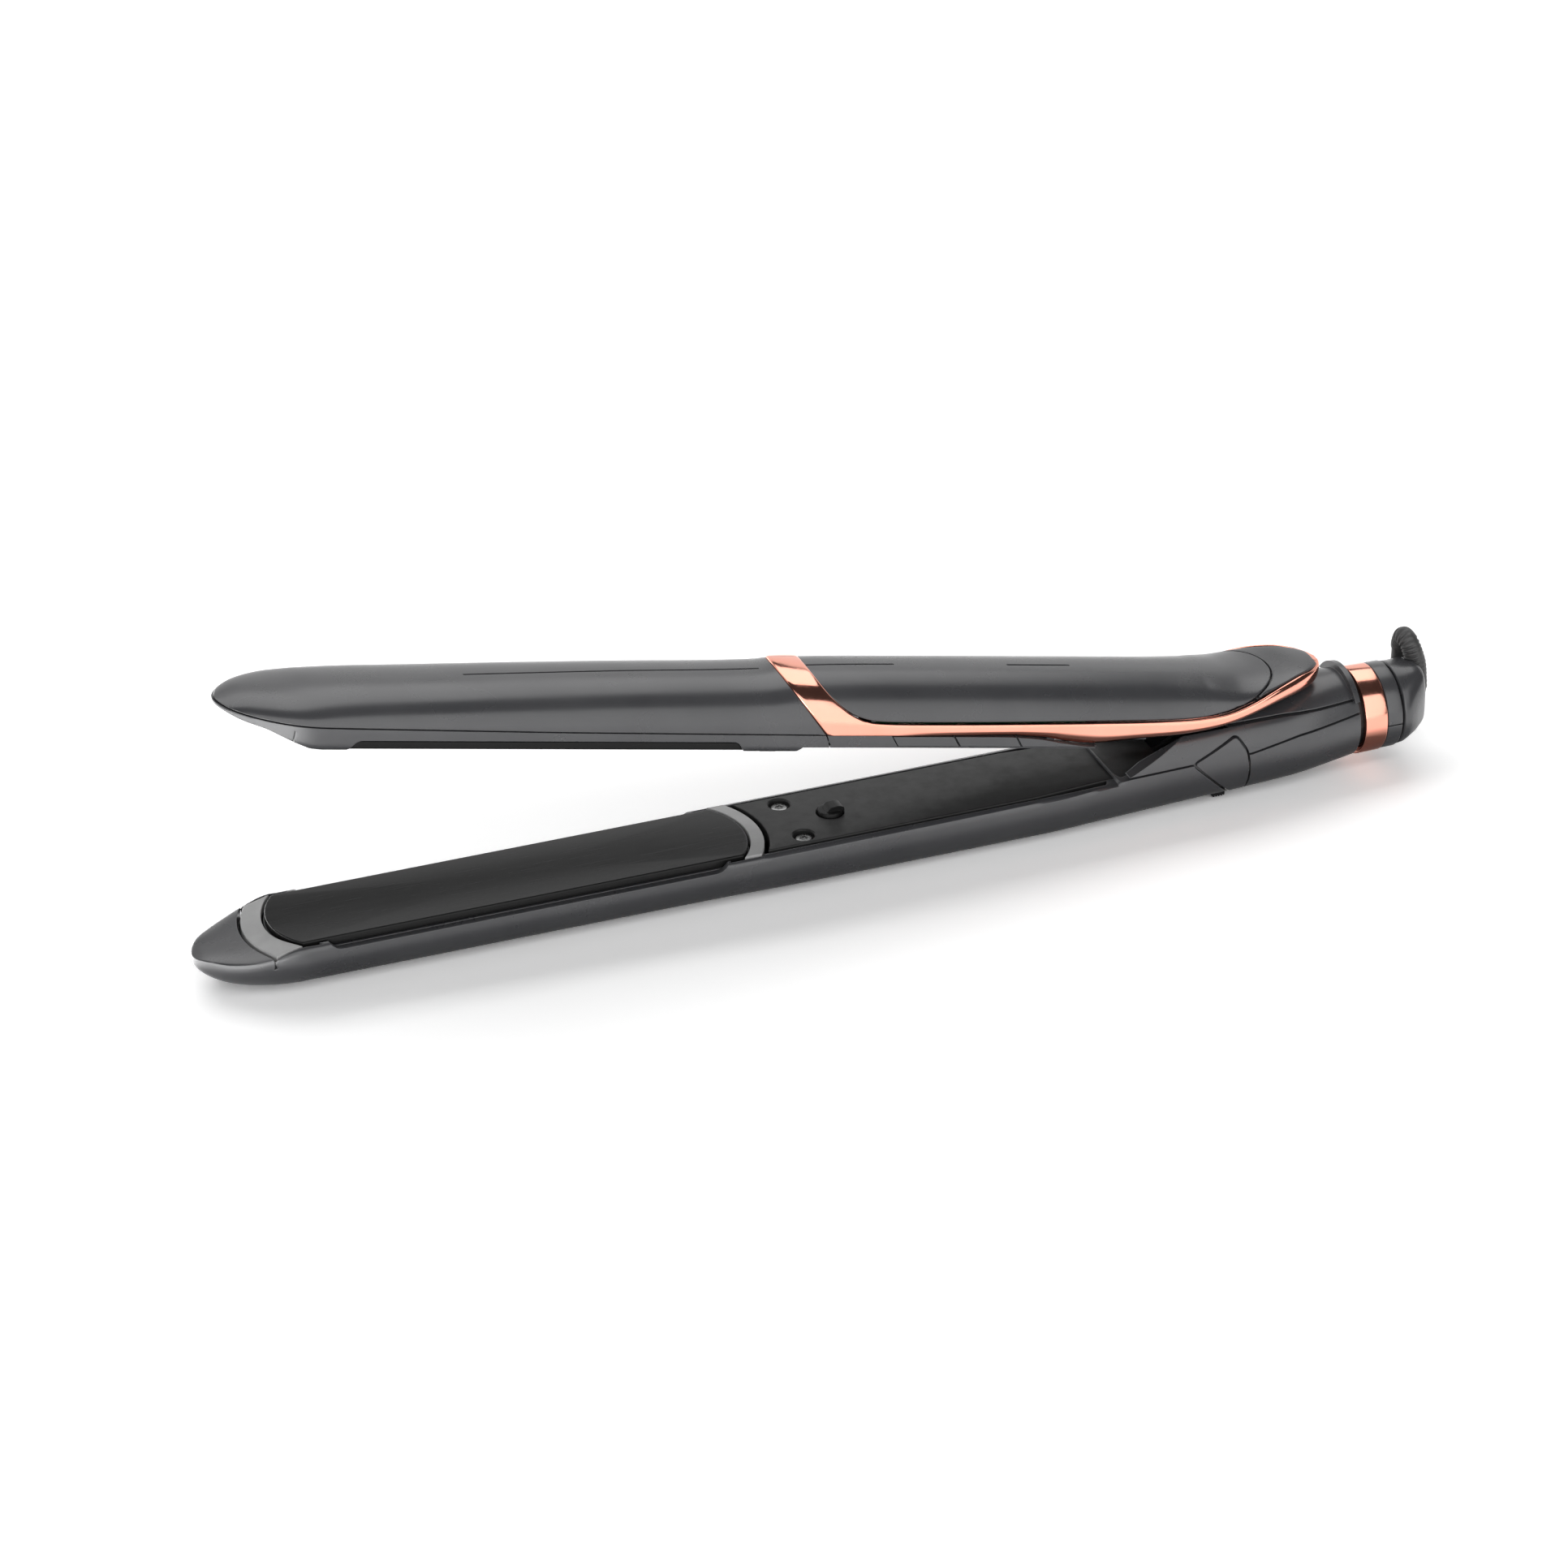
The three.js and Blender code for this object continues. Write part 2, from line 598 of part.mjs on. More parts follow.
// The cord leaves the back of the swivel, arches over to the far side and hangs down.
const CORD_PATH = new THREE.CatmullRomCurve3([
  [288, 0, -0.4], [291.8, 0.2, -0.2], [294.6, 1.4, 2.2], [294.7, 2.3, 6.5], [293.9, 3, 10.6],
  [293.2, 4.4, 13.2], [293.1, 6.4, 13.6], [293.3, 8.5, 10.9], [293.9, 9.9, 6.4], [294.3, 11.3, 1.6],
  [293.8, 12.7, -4], [292.6, 13.4, -11.4],
].map(([x, y, z]) => new THREE.Vector3(x, y, z)), false, 'centripetal');
const RELIEF_SHARE = 0.55;

// One stretch of the cord path, from share a to share b of its length.
function cordStretch(a, b) {
  const points = [];
  for (let i = 0; i <= 16; i += 1) points.push(CORD_PATH.getPointAt(THREE.MathUtils.lerp(a, b, i / 16)));
  return new THREE.CatmullRomCurve3(points);
}

function reliefSocket() {
  return sweep(cordStretch(0, 0.5), () => 3.05, 16, 14);
}

function strainRelief() {
  return sweep(cordStretch(0.015, RELIEF_SHARE), (t) => 2.75 - 0.4 * t, 22, 14);
}

function cordStub() {
  return sweep(cordStretch(RELIEF_SHARE + 0.02, 1), () => 2.1, 12, 12);
}

// ---------------------------------------------------------------- upper arm
const UPPER_TOP = [[-NOSE, 7.1], [-22, 7.5], [-20, 8.5], [-17, 9.6], [-13, 10.3], [-9, 10.75], [-5, 11.2],
  [0, 11.9], [10, 12.65], [25, 13.2], [45, 13.95], [75, 14.95], [113, 15.95], [119, 16.7], [146, 17.3],
  [TAIL_START, 17.5]];
const TAIL_WAIST = [[TAIL_START, 6.5], [236, 9.5], [244, 13], [248, 14.8], [254.5, 16.5], [TAIL_END, 17.6]];

// Height of a side-view line at x.
function lineHeight(line, x) {
  const next = line.findIndex(([at]) => at >= x);
  if (next <= 0) return line[next < 0 ? line.length - 1 : 0][1];
  const [[x0, z0], [x1, z1]] = [line[next - 1], line[next]];
  return THREE.MathUtils.lerp(z0, z1, (x - x0) / (x1 - x0));
}

const upperStations = [
  ...noseStations(UPPER_TIP_Z, UPPER_WAIST, 12, 0.2).map((s) => ({
    ...s, top: lineHeight(UPPER_TOP, s.x), down: 6,
  })),
  ...UPPER_TOP.filter(([x]) => x >= 0 && x < TAIL_START).map(([x, top]) => ({
    x, w: HALF_WIDTH, top, bottom: 0.2, waist: x < 100 ? 5 : 4.6, down: 8,
  })),
  { x: 214, w: HALF_WIDTH, top: 17.5, bottom: 0.2, waist: 4.6, up: 2.5, down: 8 },
  { x: TAIL_START, w: HALF_WIDTH, top: 17.5, bottom: 0.2, waist: TAIL_WAIST[0][1], up: 2.5, down: 8 },
  ...[0.25, 0.48, 0.68, 0.83, 0.93, 0.99].map((t) => ({
    x: TAIL_START + t * (TAIL_END - TAIL_START),
    w: HALF_WIDTH * Math.sqrt(1 - t * t),
    top: 17.5 + 3.4 * t ** 2.5,
    bottom: 0.2,
    waist: lineHeight(TAIL_WAIST, TAIL_START + t * (TAIL_END - TAIL_START)),
    up: 2.5 + 2.5 * t,
    down: 4,
  })),
];

function upperHull(grow) {
  return shell(upperStations, grow);
}

const SEAM_LINE = [[-40, 7.4], [-16, 6.9], [-8, 6.3], [0, 6.1], [60, 5.2], [BAND_FOOT_X, RAIL_Z]];
const BAND_FRONT = [[112.6, 20], [114.6, 17.6], [BAND_FOOT_X, RAIL_Z], [127.5, 2.6]];
const RAIL_TOP = [[122, 20], [123.2, 17.4], [126, 14.4], [129.4, 11.8], [134, 9.4], [139, 8.3],
  [146, 8.1], [205, 8.9], [222, 9.6], [231, 11.0], [240, 14.3], [244, 16.1], [248, 17.4], [254.5, 18.9],
  [275, 19.6]];
const RAIL_BOTTOM = [[BAND_FOOT_X, RAIL_Z], [172, 5.4], [182, 4.9], [190, 3.7], [197, 3.0], [208, 4.0],
  [222, 5.6], [232, 7.8], [239.5, 10.4], [248, 13.4], [254, 14.8], [275, 16]];

const SHELL_DEPTH = 1.5;
const TRIM_PROUD = 0.25;
const TRIM_DEPTH = 1;

// The hollow inside the handle, also the room for the hub when the arms close.
function upperCavity() {
  const stations = upperStations.filter((s) => s.x > -12 && s.x < 258).map((s) => ({
    ...s, w: s.w - WALL, top: s.top - WALL, bottom: -3,
  }));
  return shell(stations);
}

function trimZone() {
  const [foot, ...rails] = RAIL_BOTTOM;
  return sidePrism([BAND_FRONT[0], BAND_FRONT[1], foot, ...rails, ...[...RAIL_TOP].reverse()]);
}

function handleTrim() {
  const skinLayer = upperHull(TRIM_PROUD).subtract(upperHull(-TRIM_DEPTH));
  return skinLayer.intersect(trimZone()).subtract(block(-40, 300, -4, 4, -5, 14));
}

function upperHousing() {
  const front = sidePrism([[-40, 20], ...SEAM_LINE, ...[...BAND_FRONT].slice(0, 2).reverse()]);
  return upperHull(0).intersect(front).subtract(upperCavity())
    .subtract(unite(seam(SEAM_LINE), seam(BAND_FRONT), plateWell(-1)));
}

function upperFrame() {
  const zone = sidePrism([[-40, -5], [-40, 7.4], ...SEAM_LINE.slice(1), [126.8, STRIP_BOTTOM],
    [120, STRIP_BOTTOM], [118, -1], [100, -5]]).subtract(seam(BAND_FRONT));
  return upperHull(0).intersect(zone).subtract(below(noseLine(UPPER_TIP_Z), -5))
    .subtract(upperCavity()).subtract(unite(seam(SEAM_LINE), plateWell(-1), rimCut(-1)));
}

function handleCover() {
  const zone = above(RAIL_TOP, 30).subtract(block(TAIL_GROOVE.x, 300, -SIDE, SIDE, -SIDE, SIDE))
    .add(rod('z', TAIL_GROOVE.radius - GAP / 2, -SIDE, SIDE, [TAIL_GROOVE.x, 0], 48)
      .intersect(above(RAIL_TOP, 30)));
  const spine = block(123, 147, -0.3, 0.3, 15.9, SIDE).add(block(177, 194, -0.3, 0.3, 16.4, SIDE));
  return upperHull(0).subtract(upperHull(-SHELL_DEPTH)).intersect(zone)
    .subtract(seam(RAIL_TOP)).subtract(spine);
}

function handleEndInsert() {
  const zone = above(RAIL_TOP, 30).subtract(block(0, TAIL_GROOVE.x, -SIDE, SIDE, -SIDE, SIDE))
    .subtract(rod('z', TAIL_GROOVE.radius + GAP / 2, -SIDE, SIDE, [TAIL_GROOVE.x, 0], 48));
  return upperHull(0).subtract(upperHull(-SHELL_DEPTH)).intersect(zone).subtract(seam(RAIL_TOP));
}

const BASE_TOP = 3.5;
const BASE_REAR = 214;

// The floor and side strips under the handle, with an opening for each button.
function stripZone(inset) {
  const [foot, ...rails] = RAIL_BOTTOM.slice(0, 5);
  const top = [foot, ...rails].map(([x, z]) => [x, z - inset]);
  return sidePrism([[127.2 + inset, STRIP_BOTTOM], ...top, [198, STRIP_BOTTOM]]);
}

function handleBase() {
  const walls = upperHull(0).subtract(upperCavity()).intersect(stripZone(0))
    .subtract(unite(seam(RAIL_BOTTOM), seam(BAND_FRONT)));
  const { halfWidth, front } = COVER;
  const edge = arcPoints(REAR_ARC, front - REAR_ARC.x, halfWidth, 1);
  const outline = [...edge, [128, halfWidth], [128, 13.4], [186, 13.4], [188, 10], [BASE_REAR, 10],
    [BASE_REAR, -10], [188, -10], [186, -13.4], [128, -13.4], [128, -halfWidth]];
  const floor = planPrism(outline, STRIP_BOTTOM + 0.1, BASE_TOP);
  return walls.add(floor).subtract(unite(...BUTTONS.map((button) => buttonBlank(button, GAP))))
    .subtract(upperScrewHoles()).subtract(rod('z', 3.4, 0, 9, [BUMPER_X, 0], 20));
}
function upperScrewHoles() {
  return unite(...[-SCREW.y, SCREW.y].map((y) => rod('z', SCREW.shankRadius + GAP, 0, 9, [SCREW.x, y], 16)));
}

function upperScrew(y) {
  const z = STRIP_BOTTOM;
  const head = rod('z', SCREW.headRadius, z - 0.9, z - 0.2, [SCREW.x, y], 20);
  const shank = rod('z', SCREW.shankRadius, z - 0.3, z + 6, [SCREW.x, y], 16);
  return head.add(shank).subtract(rod('z', 1, z - 2, z - 0.5, [SCREW.x, y], 6));
}

// Each push button is a slanted tile in the near side strip.
const BUTTONS = [
  { name: 'mode_button_front', from: BUTTON_EDGES[0], to: BUTTON_EDGES[1] },
  { name: 'mode_button_rear', from: BUTTON_EDGES[1], to: BUTTON_EDGES[2] },
  { name: 'power_button', from: BUTTON_EDGES[2], to: BUTTON_EDGES[3] },
];

function buttonBlank({ from, to }, grow) {
  const [low, high] = [STRIP_BOTTOM + 0.7 - grow, RAIL_Z + 0.4];
  const lean = (z) => BUTTON_SLANT * (RAIL_Z - z) / (RAIL_Z - STRIP_BOTTOM);
  const inset = GAP * 0.6 - grow;
  return sidePrism([[from + lean(high) + inset, high], [from + lean(low) + inset, low],
    [to + lean(low) - inset, low], [to + lean(high) - inset, high]], -SIDE, -12.2 + grow);
}

function pushButton(button) {
  const face = upperHull(0.2).subtract(upperHull(-1.5)).intersect(buttonBlank(button, 0))
    .intersect(below(RAIL_BOTTOM.map(([x, z]) => [x, z - GAP])));
  const middle = (button.from + button.to) / 2;
  return face.add(block(middle - 1, middle + 1, -13, -12.1, 3.9, 4.7));
}

const BOARD = { from: 140, to: 196, halfWidth: 8, z: 6.2, thickness: 1.4 };

function circuitBoard() {
  const { from, to, halfWidth, z, thickness } = BOARD;
  const board = block(from, to, -halfWidth - 2.5, halfWidth, z, z + thickness);
  const parts = [[146, 2, 6, 5], [160, -3, 5, 6], [172, 1, 9, 4], [186, -2, 4, 4]];
  return unite(board, ...parts.map(([x, y, length, width]) => (
    block(x, x + length, y, y + width, z + thickness - 0.1, z + thickness + 2))));
}

function tactSwitch({ from, to }) {
  const middle = (from + to) / 2;
  const body = block(middle - 2, middle + 2, -11, -8.6, 3.8, BOARD.z - GAP / 2);
  return body.add(block(middle - 0.8, middle + 0.8, -11.5, -11, 3.9, 4.7));
}

function hingeLug() {
  const eyes = [[-5.4, -3.4], [3.4, 5.4]].map(([from, to]) => {
    const arm = sidePrism([[228, 2], [228, 3.4], [236, 3.4], [245, 0.6], [247, -3], [242, -5],
      [239, -2], [236, 1.2]], from, to);
    return rod('y', 4.6, from, to, [HINGE.x, HINGE.z]).add(arm)
      .subtract(rod('y', PIN_RADIUS + GAP, from - 1, to + 1, [HINGE.x, HINGE.z]));
  });
  const tongue = sidePrism([[202, BASE_TOP + GAP], [202, 5.2], [216, 5.2], [231, 3.4], [231, 2.2],
    [BASE_REAR + 1, 2.2], [BASE_REAR + 1, BASE_TOP + GAP]], -5.4, 5.4);
  return unite(tongue, ...eyes);
}

function lead(points) {
  const curve = new THREE.CatmullRomCurve3(points.map(([x, y, z]) => new THREE.Vector3(x, y, z)));
  return sweep(curve, () => 0.6, 20, 6);
}

function lowerLead() {
  return lead([[262, 4, -1], [250, 7.9, 0], [238, 7.9, 0], [220, 7, -7], [150, 5, -9], [117, 3, -7]]);
}

function upperLead() {
  return lead([[139, 3, 7], [132, 3, 7.4], [124, 2, 7.4], [117, 0, 6.6]]);
}

const exported = new THREE.Group();
exported.name = 'flat_iron';
const lowerArm = new THREE.Group();
lowerArm.position.set(-ORIGIN.x, 0, -ORIGIN.z);
const hinge = new THREE.Group();
hinge.position.set(HINGE.x - ORIGIN.x, 0, HINGE.z - ORIGIN.z);
hinge.rotation.y = OPEN_ANGLE;
const upperArm = new THREE.Group();
upperArm.position.set(-HINGE.x, 0, -HINGE.z);
hinge.add(upperArm);
exported.add(lowerArm, hinge);

function place(arm, name, solid, material) {
  const mesh = new THREE.Mesh(geometryOf(solid), material);
  mesh.name = name;
  arm.add(mesh);
}

for (const [arm, side, flip] of [[lowerArm, 'lower', 1], [upperArm, 'upper', -1]]) {
  place(arm, `${side}_plate`, heatingPlate(flip), ceramicBlack);
  place(arm, `${side}_plate_carrier`, plateCarrier(flip), innerPlastic);
  place(arm, `${side}_heater`, heater(flip), heaterWhite);
  place(arm, `${side}_float_spring`, floatSpring(flip), steel);
  place(arm, `${side}_front_insulator`, frontInsulator(flip), insulatorGrey);
  place(arm, `${side}_rear_insulator`, rearInsulator(flip), insulatorGrey);
}

place(lowerArm, 'lower_housing', lowerHousing(), softTouch);
place(lowerArm, 'lower_inner_cover', lowerInnerCover(), innerPlastic);
place(lowerArm, 'cover_screw_near', coverScrew(-SCREW.y, 1), steel);
place(lowerArm, 'cover_screw_far', coverScrew(SCREW.y, 1), steel);
place(lowerArm, 'closing_bumper', closingBumper(), rubberBlack);
place(lowerArm, 'hub_frame', hubFrame(), softTouch);
place(lowerArm, 'hub_top_cover', hubTopCover(), softTouch);
place(lowerArm, 'hinge_saddle', hingeSaddle(), softTouch);
place(lowerArm, 'hinge_pin', hingePin(), steel);
place(lowerArm, 'hinge_spring', hingeSpring(), steel);
place(lowerArm, 'lock_slider', lockSlider(), rubberBlack);
place(lowerArm, 'trim_ring', trimRing(), roseGold);
place(lowerArm, 'end_cap_upper', endCapHalf(1), softTouch);
place(lowerArm, 'end_cap_lower', endCapHalf(-1), softTouch);
place(lowerArm, 'cord_socket', cordSocket(), innerPlastic);
place(lowerArm, 'swivel_cap', swivelCap(), softTouch);
place(lowerArm, 'strain_relief', strainRelief(), rubberBlack);
place(lowerArm, 'cord', cordStub(), rubberBlack);

place(lowerArm, 'lower_lead', lowerLead(), rubberBlack);
place(upperArm, 'upper_lead', upperLead(), rubberBlack);
place(upperArm, 'handle_base', handleBase(), softTouch);
place(upperArm, 'base_screw_near', upperScrew(-SCREW.y), steel);
place(upperArm, 'base_screw_far', upperScrew(SCREW.y), steel);
place(upperArm, 'hinge_lug', hingeLug(), innerPlastic);
place(upperArm, 'circuit_board', circuitBoard(), boardGreen);
for (const button of BUTTONS) {
  place(upperArm, button.name, pushButton(button), softTouch);
  place(upperArm, `${button.name}_switch`, tactSwitch(button), innerPlastic);
}
place(upperArm, 'upper_housing', upperHousing(), softTouch);
place(upperArm, 'upper_frame', upperFrame(), softTouch);
place(upperArm, 'handle_trim', handleTrim(), roseGold);
place(upperArm, 'handle_cover', handleCover(), softTouch);
place(upperArm, 'handle_end_insert', handleEndInsert(), softTouch);

export default exported;
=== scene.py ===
# Looks for the flat iron: high-resolution shells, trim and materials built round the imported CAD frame.
# Shapes are drawn in millimetres in arm coordinates (x from the front corners of the heating plates,
# z from the plane where the closed plates meet) and moved onto the hinge in metres at the end.
import json
import math

import bpy
import numpy as np
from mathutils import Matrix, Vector

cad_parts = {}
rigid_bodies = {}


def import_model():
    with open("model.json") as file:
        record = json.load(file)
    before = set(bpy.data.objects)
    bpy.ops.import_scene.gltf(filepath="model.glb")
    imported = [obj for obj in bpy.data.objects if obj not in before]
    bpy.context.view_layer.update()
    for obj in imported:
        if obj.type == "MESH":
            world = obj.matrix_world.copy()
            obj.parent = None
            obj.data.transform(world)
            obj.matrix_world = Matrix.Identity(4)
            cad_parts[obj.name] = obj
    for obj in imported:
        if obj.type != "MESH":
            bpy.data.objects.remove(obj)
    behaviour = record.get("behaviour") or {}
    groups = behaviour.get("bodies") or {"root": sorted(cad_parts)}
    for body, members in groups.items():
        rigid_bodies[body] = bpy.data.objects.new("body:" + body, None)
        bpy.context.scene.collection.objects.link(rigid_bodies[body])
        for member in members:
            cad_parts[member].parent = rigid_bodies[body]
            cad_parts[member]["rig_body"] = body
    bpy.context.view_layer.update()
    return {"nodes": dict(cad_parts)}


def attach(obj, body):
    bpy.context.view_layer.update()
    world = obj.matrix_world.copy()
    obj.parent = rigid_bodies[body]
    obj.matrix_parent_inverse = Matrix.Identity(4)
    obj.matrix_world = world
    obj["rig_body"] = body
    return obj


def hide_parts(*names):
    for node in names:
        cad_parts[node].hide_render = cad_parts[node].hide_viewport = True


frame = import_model()

# ---------------------------------------------------------------- driving dimensions
MM = 0.001
ORIGIN = np.array([152.0, 0.0, -15.1])
HINGE = np.array([244.0, 0.0, -3.5])
OPEN_ANGLE = math.radians(11.8)
GAP = 0.3
SEAM_HALF = 0.27
CHEEK_FRONT = 207.5

PLATE_LENGTH = 110.0
PLATE_HALF = 12.0
FRONT_BULGE = 4.8
REAR_BULGE = 4.5
NOSE = 23.4
EAR = 7.9
HALF_WIDTH = 14.2
WALL = 1.6
HUB_WALL = 2.4
SIDE = 30.0
LOWER_TIP_Z = -5.8
UPPER_TIP_Z = 6.8
REST_Z = -15.1

RIM_LOW = 2.6
UPPER_RIM = 3.4
RIM_FRONT = 5.6
RIM_REAR = 106.0
RIM_BEVEL = 2.4

COVER_TOP = -0.35
COVER_HALF = 11.8
COVER_FRONT = 119.6
COVER_REAR = 222.0
SCREW_X = 127.0
SCREW_Y = 8.0
SCREW_PLACES = [(SCREW_X, -SCREW_Y, 0), (SCREW_X, SCREW_Y, 0)]
BUMPER_X = 137.0

BAND_FOOT = (126.0, 5.3)
STRIP_BOTTOM = 2.1
BUTTON_SLANT = 2.4
TAIL_START = 228.0
TAIL_END = 261.0
GROOVE_X = 234.2
GROOVE_RADIUS = 13.5

HUB_FRONT = 204.0
HUB_REAR = 273.4
HUB_TOP = 9.6
RING_Z = -0.4
RING_FRONT = 274.9
RING_REAR = 280.8
RING_RADIUS = 11.0
RING_BORE = 9.7
END_CAP_REAR = 285.0
SWIVEL_FRONT = 285.7

LOCK_HALF = 4.4

# How finely curves are drawn.
QUARTER = 24
ARC_STEPS = 28

# ---------------------------------------------------------------- curves
def smooth(table, x):
    """Monotone cubic through a table of (x, value) pairs, flat beyond its ends."""
    xs = np.array([p[0] for p in table], float)
    ys = np.array([p[1] for p in table], float)
    x = np.clip(np.asarray(x, float), xs[0], xs[-1])
    h = np.diff(xs)
    d = np.diff(ys) / h
    m = np.zeros(len(xs))
    m[0], m[-1] = d[0], d[-1]
    for i in range(1, len(xs) - 1):
        if d[i - 1] * d[i] > 0:
            w1, w2 = 2 * h[i] + h[i - 1], h[i] + 2 * h[i - 1]
            m[i] = (w1 + w2) / (w1 / d[i - 1] + w2 / d[i])
    k = np.clip(np.searchsorted(xs, x, side="right") - 1, 0, len(h) - 1)
    t = (x - xs[k]) / h[k]
    return ((2 * t**3 - 3 * t**2 + 1) * ys[k] + (t**3 - 2 * t**2 + t) * h[k] * m[k]
            + (3 * t**2 - 2 * t**3) * ys[k + 1] + (t**3 - t**2) * h[k] * m[k + 1])


def lerp(a, b, t):
    return a + (b - a) * t


def lengths(points):
    """Distance from the first point to each point, along the line."""
    steps = np.linalg.norm(np.diff(np.asarray(points, float), axis=0), axis=1)
    return np.concatenate([[0], np.cumsum(steps)])


def resample(points, count):
    """A line resampled to count points, evenly along its length."""
    p = np.asarray(points, float)
    length = lengths(p)
    s = np.linspace(0, length[-1], count)
    return np.stack([np.interp(s, length, column) for column in p.T], 1)


def softened(line, rounds):
    """Averages each inner point with its neighbours, again and again."""
    for _ in range(rounds):
        line[1:-1] = (line[:-2] + 2 * line[1:-1] + line[2:]) / 4
    return line


def rounded_line(points, step=1.0, rounds=6):
    """A line resampled evenly and then smoothed, so that its corners turn softly."""
    count = max(3, int(lengths(points)[-1] / step) + 1)
    return [tuple(p) for p in softened(resample(points, count), rounds)]


def directions(line):
    """Unit directions along a line, at its points."""
    tangent = np.gradient(line, axis=0)
    return tangent / np.linalg.norm(tangent, axis=1, keepdims=True)


def ease(t):
    """Runs from 0 to 1 with a flat start and end."""
    return t * t * (3 - 2 * t)


def last_inside(lo, hi, inside, rounds):
    """The largest value between lo and hi that is still inside, found by halving."""
    for _ in range(rounds):
        middle = (lo + hi) / 2
        lo, hi = (middle, hi) if inside(middle) else (lo, middle)
    return lo


def around(count):
    return np.linspace(0, 2 * math.pi, count, endpoint=False)


# ---------------------------------------------------------------- the two hulls
LOWER_TABLES = {
    "w": [(0, HALF_WIDTH), (190, HALF_WIDTH), (204, 13.9), (232, 13.1), (256, 12.8), (268, 11.6),
          (HUB_REAR, 10.9)],
    "bottom": [(0, -14.7), (100, -14.9), (130, -15.4), (190, -15.4), (204, -15.1), (232, -14.3),
               (256, -13.3), (268, -12), (HUB_REAR, -11.3)],
    "waist": [(0, -3.6), (100, -3.6), (130, -3.4), (190, -2.6), (204, -1.6), (232, -0.6), (256, -0.5),
              (HUB_REAR, -0.4)],
    "hub_top": [(190, HUB_TOP), (252, HUB_TOP), (258, 10.2), (263, 10.8), (268, 11.0), (HUB_REAR, 10.9)],
    "hub_up": [(190, 2.3), (256, 2.3), (HUB_REAR, 2)],
    "down": [(0, 2.1), (256, 2.1), (HUB_REAR, 2)],
}
UPPER_TOP = [(-NOSE, 7.1), (-22, 7.5), (-20, 8.5), (-17, 9.6), (-13, 10.3), (-9, 10.75), (-5, 11.2),
             (0, 11.9), (10, 12.65), (25, 13.2), (45, 13.95), (75, 14.95), (113, 15.95), (119, 16.7),
             (146, 17.3), (TAIL_START, 17.5)]
UPPER_WAIST = [(0, 5), (40, 5), (113, 4.6), (214, 4.6), (TAIL_START, 6.5), (236, 9.5), (244, 13), (248, 14.8),
               (254.5, 16.5), (TAIL_END, 17.6)]
NOSE_FACE = [(-NOSE, -5.3), (-21, -4.2), (-18.5, -3.8), (-13.5, -3.3), (-7, -1.9), (-1.6, -0.5), (0, -0.35)]
NOSE_CROWN = 1.1


def nose_width(x):
    """Share of the full width left at x, which narrows to the tip in plan."""
    return (1 - np.clip(-np.minimum(x, 0) / NOSE, 0, 0.99995) ** 1.8) ** 0.55


def nose_shares(x):
    """Share of the full height left at x, and how far the square corners behind the nose have grown."""
    full = np.sqrt(np.clip(1 - (np.minimum(x, 0) / NOSE) ** 2, 1e-6, 1))
    return full, np.clip(1 + x / EAR, 0, 1)


def lower_shape(x):
    """Half-width, top, bottom, waist and the two powers of the lower hull at x."""
    x = np.asarray(x, float)
    full, ear = nose_shares(x)
    crown = NOSE_CROWN * np.clip((x + NOSE) / 6, 0, 1)
    face = smooth(NOSE_FACE, x)
    front_top = np.where(x < 0, face + 0.15 * (1 - ear), np.interp(x, [-4, 0, 130], [-0.35, -0.5, -0.5]))
    hub = np.clip((x - CHEEK_FRONT) / 1.5, 0, 1)
    nose_waist = face - lerp(crown, 3.4, ear)
    return {
        "w": smooth(LOWER_TABLES["w"], x) * nose_width(x),
        "bottom": np.where(x < 0, lerp(LOWER_TIP_Z - 0.4, -14.7, full), smooth(LOWER_TABLES["bottom"], x)),
        "waist": np.where(x < 0, nose_waist, smooth(LOWER_TABLES["waist"], x)),
        "top": lerp(front_top, smooth(LOWER_TABLES["hub_top"], x), hub),
        "up": lerp(lerp(3.0, 8.0, ear), smooth(LOWER_TABLES["hub_up"], x), hub),
        "down": smooth(LOWER_TABLES["down"], x),
    }


def upper_shape(x):
    """The same for the upper hull."""
    x = np.asarray(x, float)
    full, ear = nose_shares(x)
    t = np.clip((x - TAIL_START) / (TAIL_END - TAIL_START), 0, 0.99999)
    return {
        "w": HALF_WIDTH * nose_width(x) * np.sqrt(1 - t * t),
        "bottom": lerp(UPPER_TIP_Z - 0.4, 0.2, full),
        "waist": np.where(x < 0, lerp(UPPER_TIP_Z, lerp(6.1, 5, ear), full), smooth(UPPER_WAIST, x)),
        "top": smooth(UPPER_TOP, x) + 4.6 * t**2.2,
        "up": 2.3 + 0.2 * np.clip((x - 146) / 82, 0, 1) + 2.5 * t,
        "down": lerp(lerp(6.0, 8.0, ear), 4.0, np.clip(4 * t, 0, 1)),
    }


def nose_xs(count=30):
    """Places along the nose, closer together towards the tip."""
    return -NOSE * np.cos(np.linspace(0.012, 1, count) * math.pi / 2)


LOWER_XS = np.concatenate([nose_xs(), np.arange(2, 202, 2.5), [202, HUB_FRONT, 205.5],
                           np.arange(207, 273, 1.5), [HUB_REAR]])
UPPER_XS = np.concatenate([nose_xs(), np.arange(2, 226, 2.5), TAIL_START
                           + (TAIL_END - TAIL_START) * np.sin(np.linspace(0, 0.998, 34) * math.pi / 2)])


def quarter(width, reach, power):
    """A quarter of a superellipse from its side to its top, evenly spaced along its length."""
    a = np.linspace(0, math.pi / 2, 161)
    curve = np.stack([width * np.cos(a) ** (2 / power), reach * np.sin(a) ** (2 / power)], 1)
    curve[-1, 0] = 0
    return resample(curve, QUARTER + 1).T


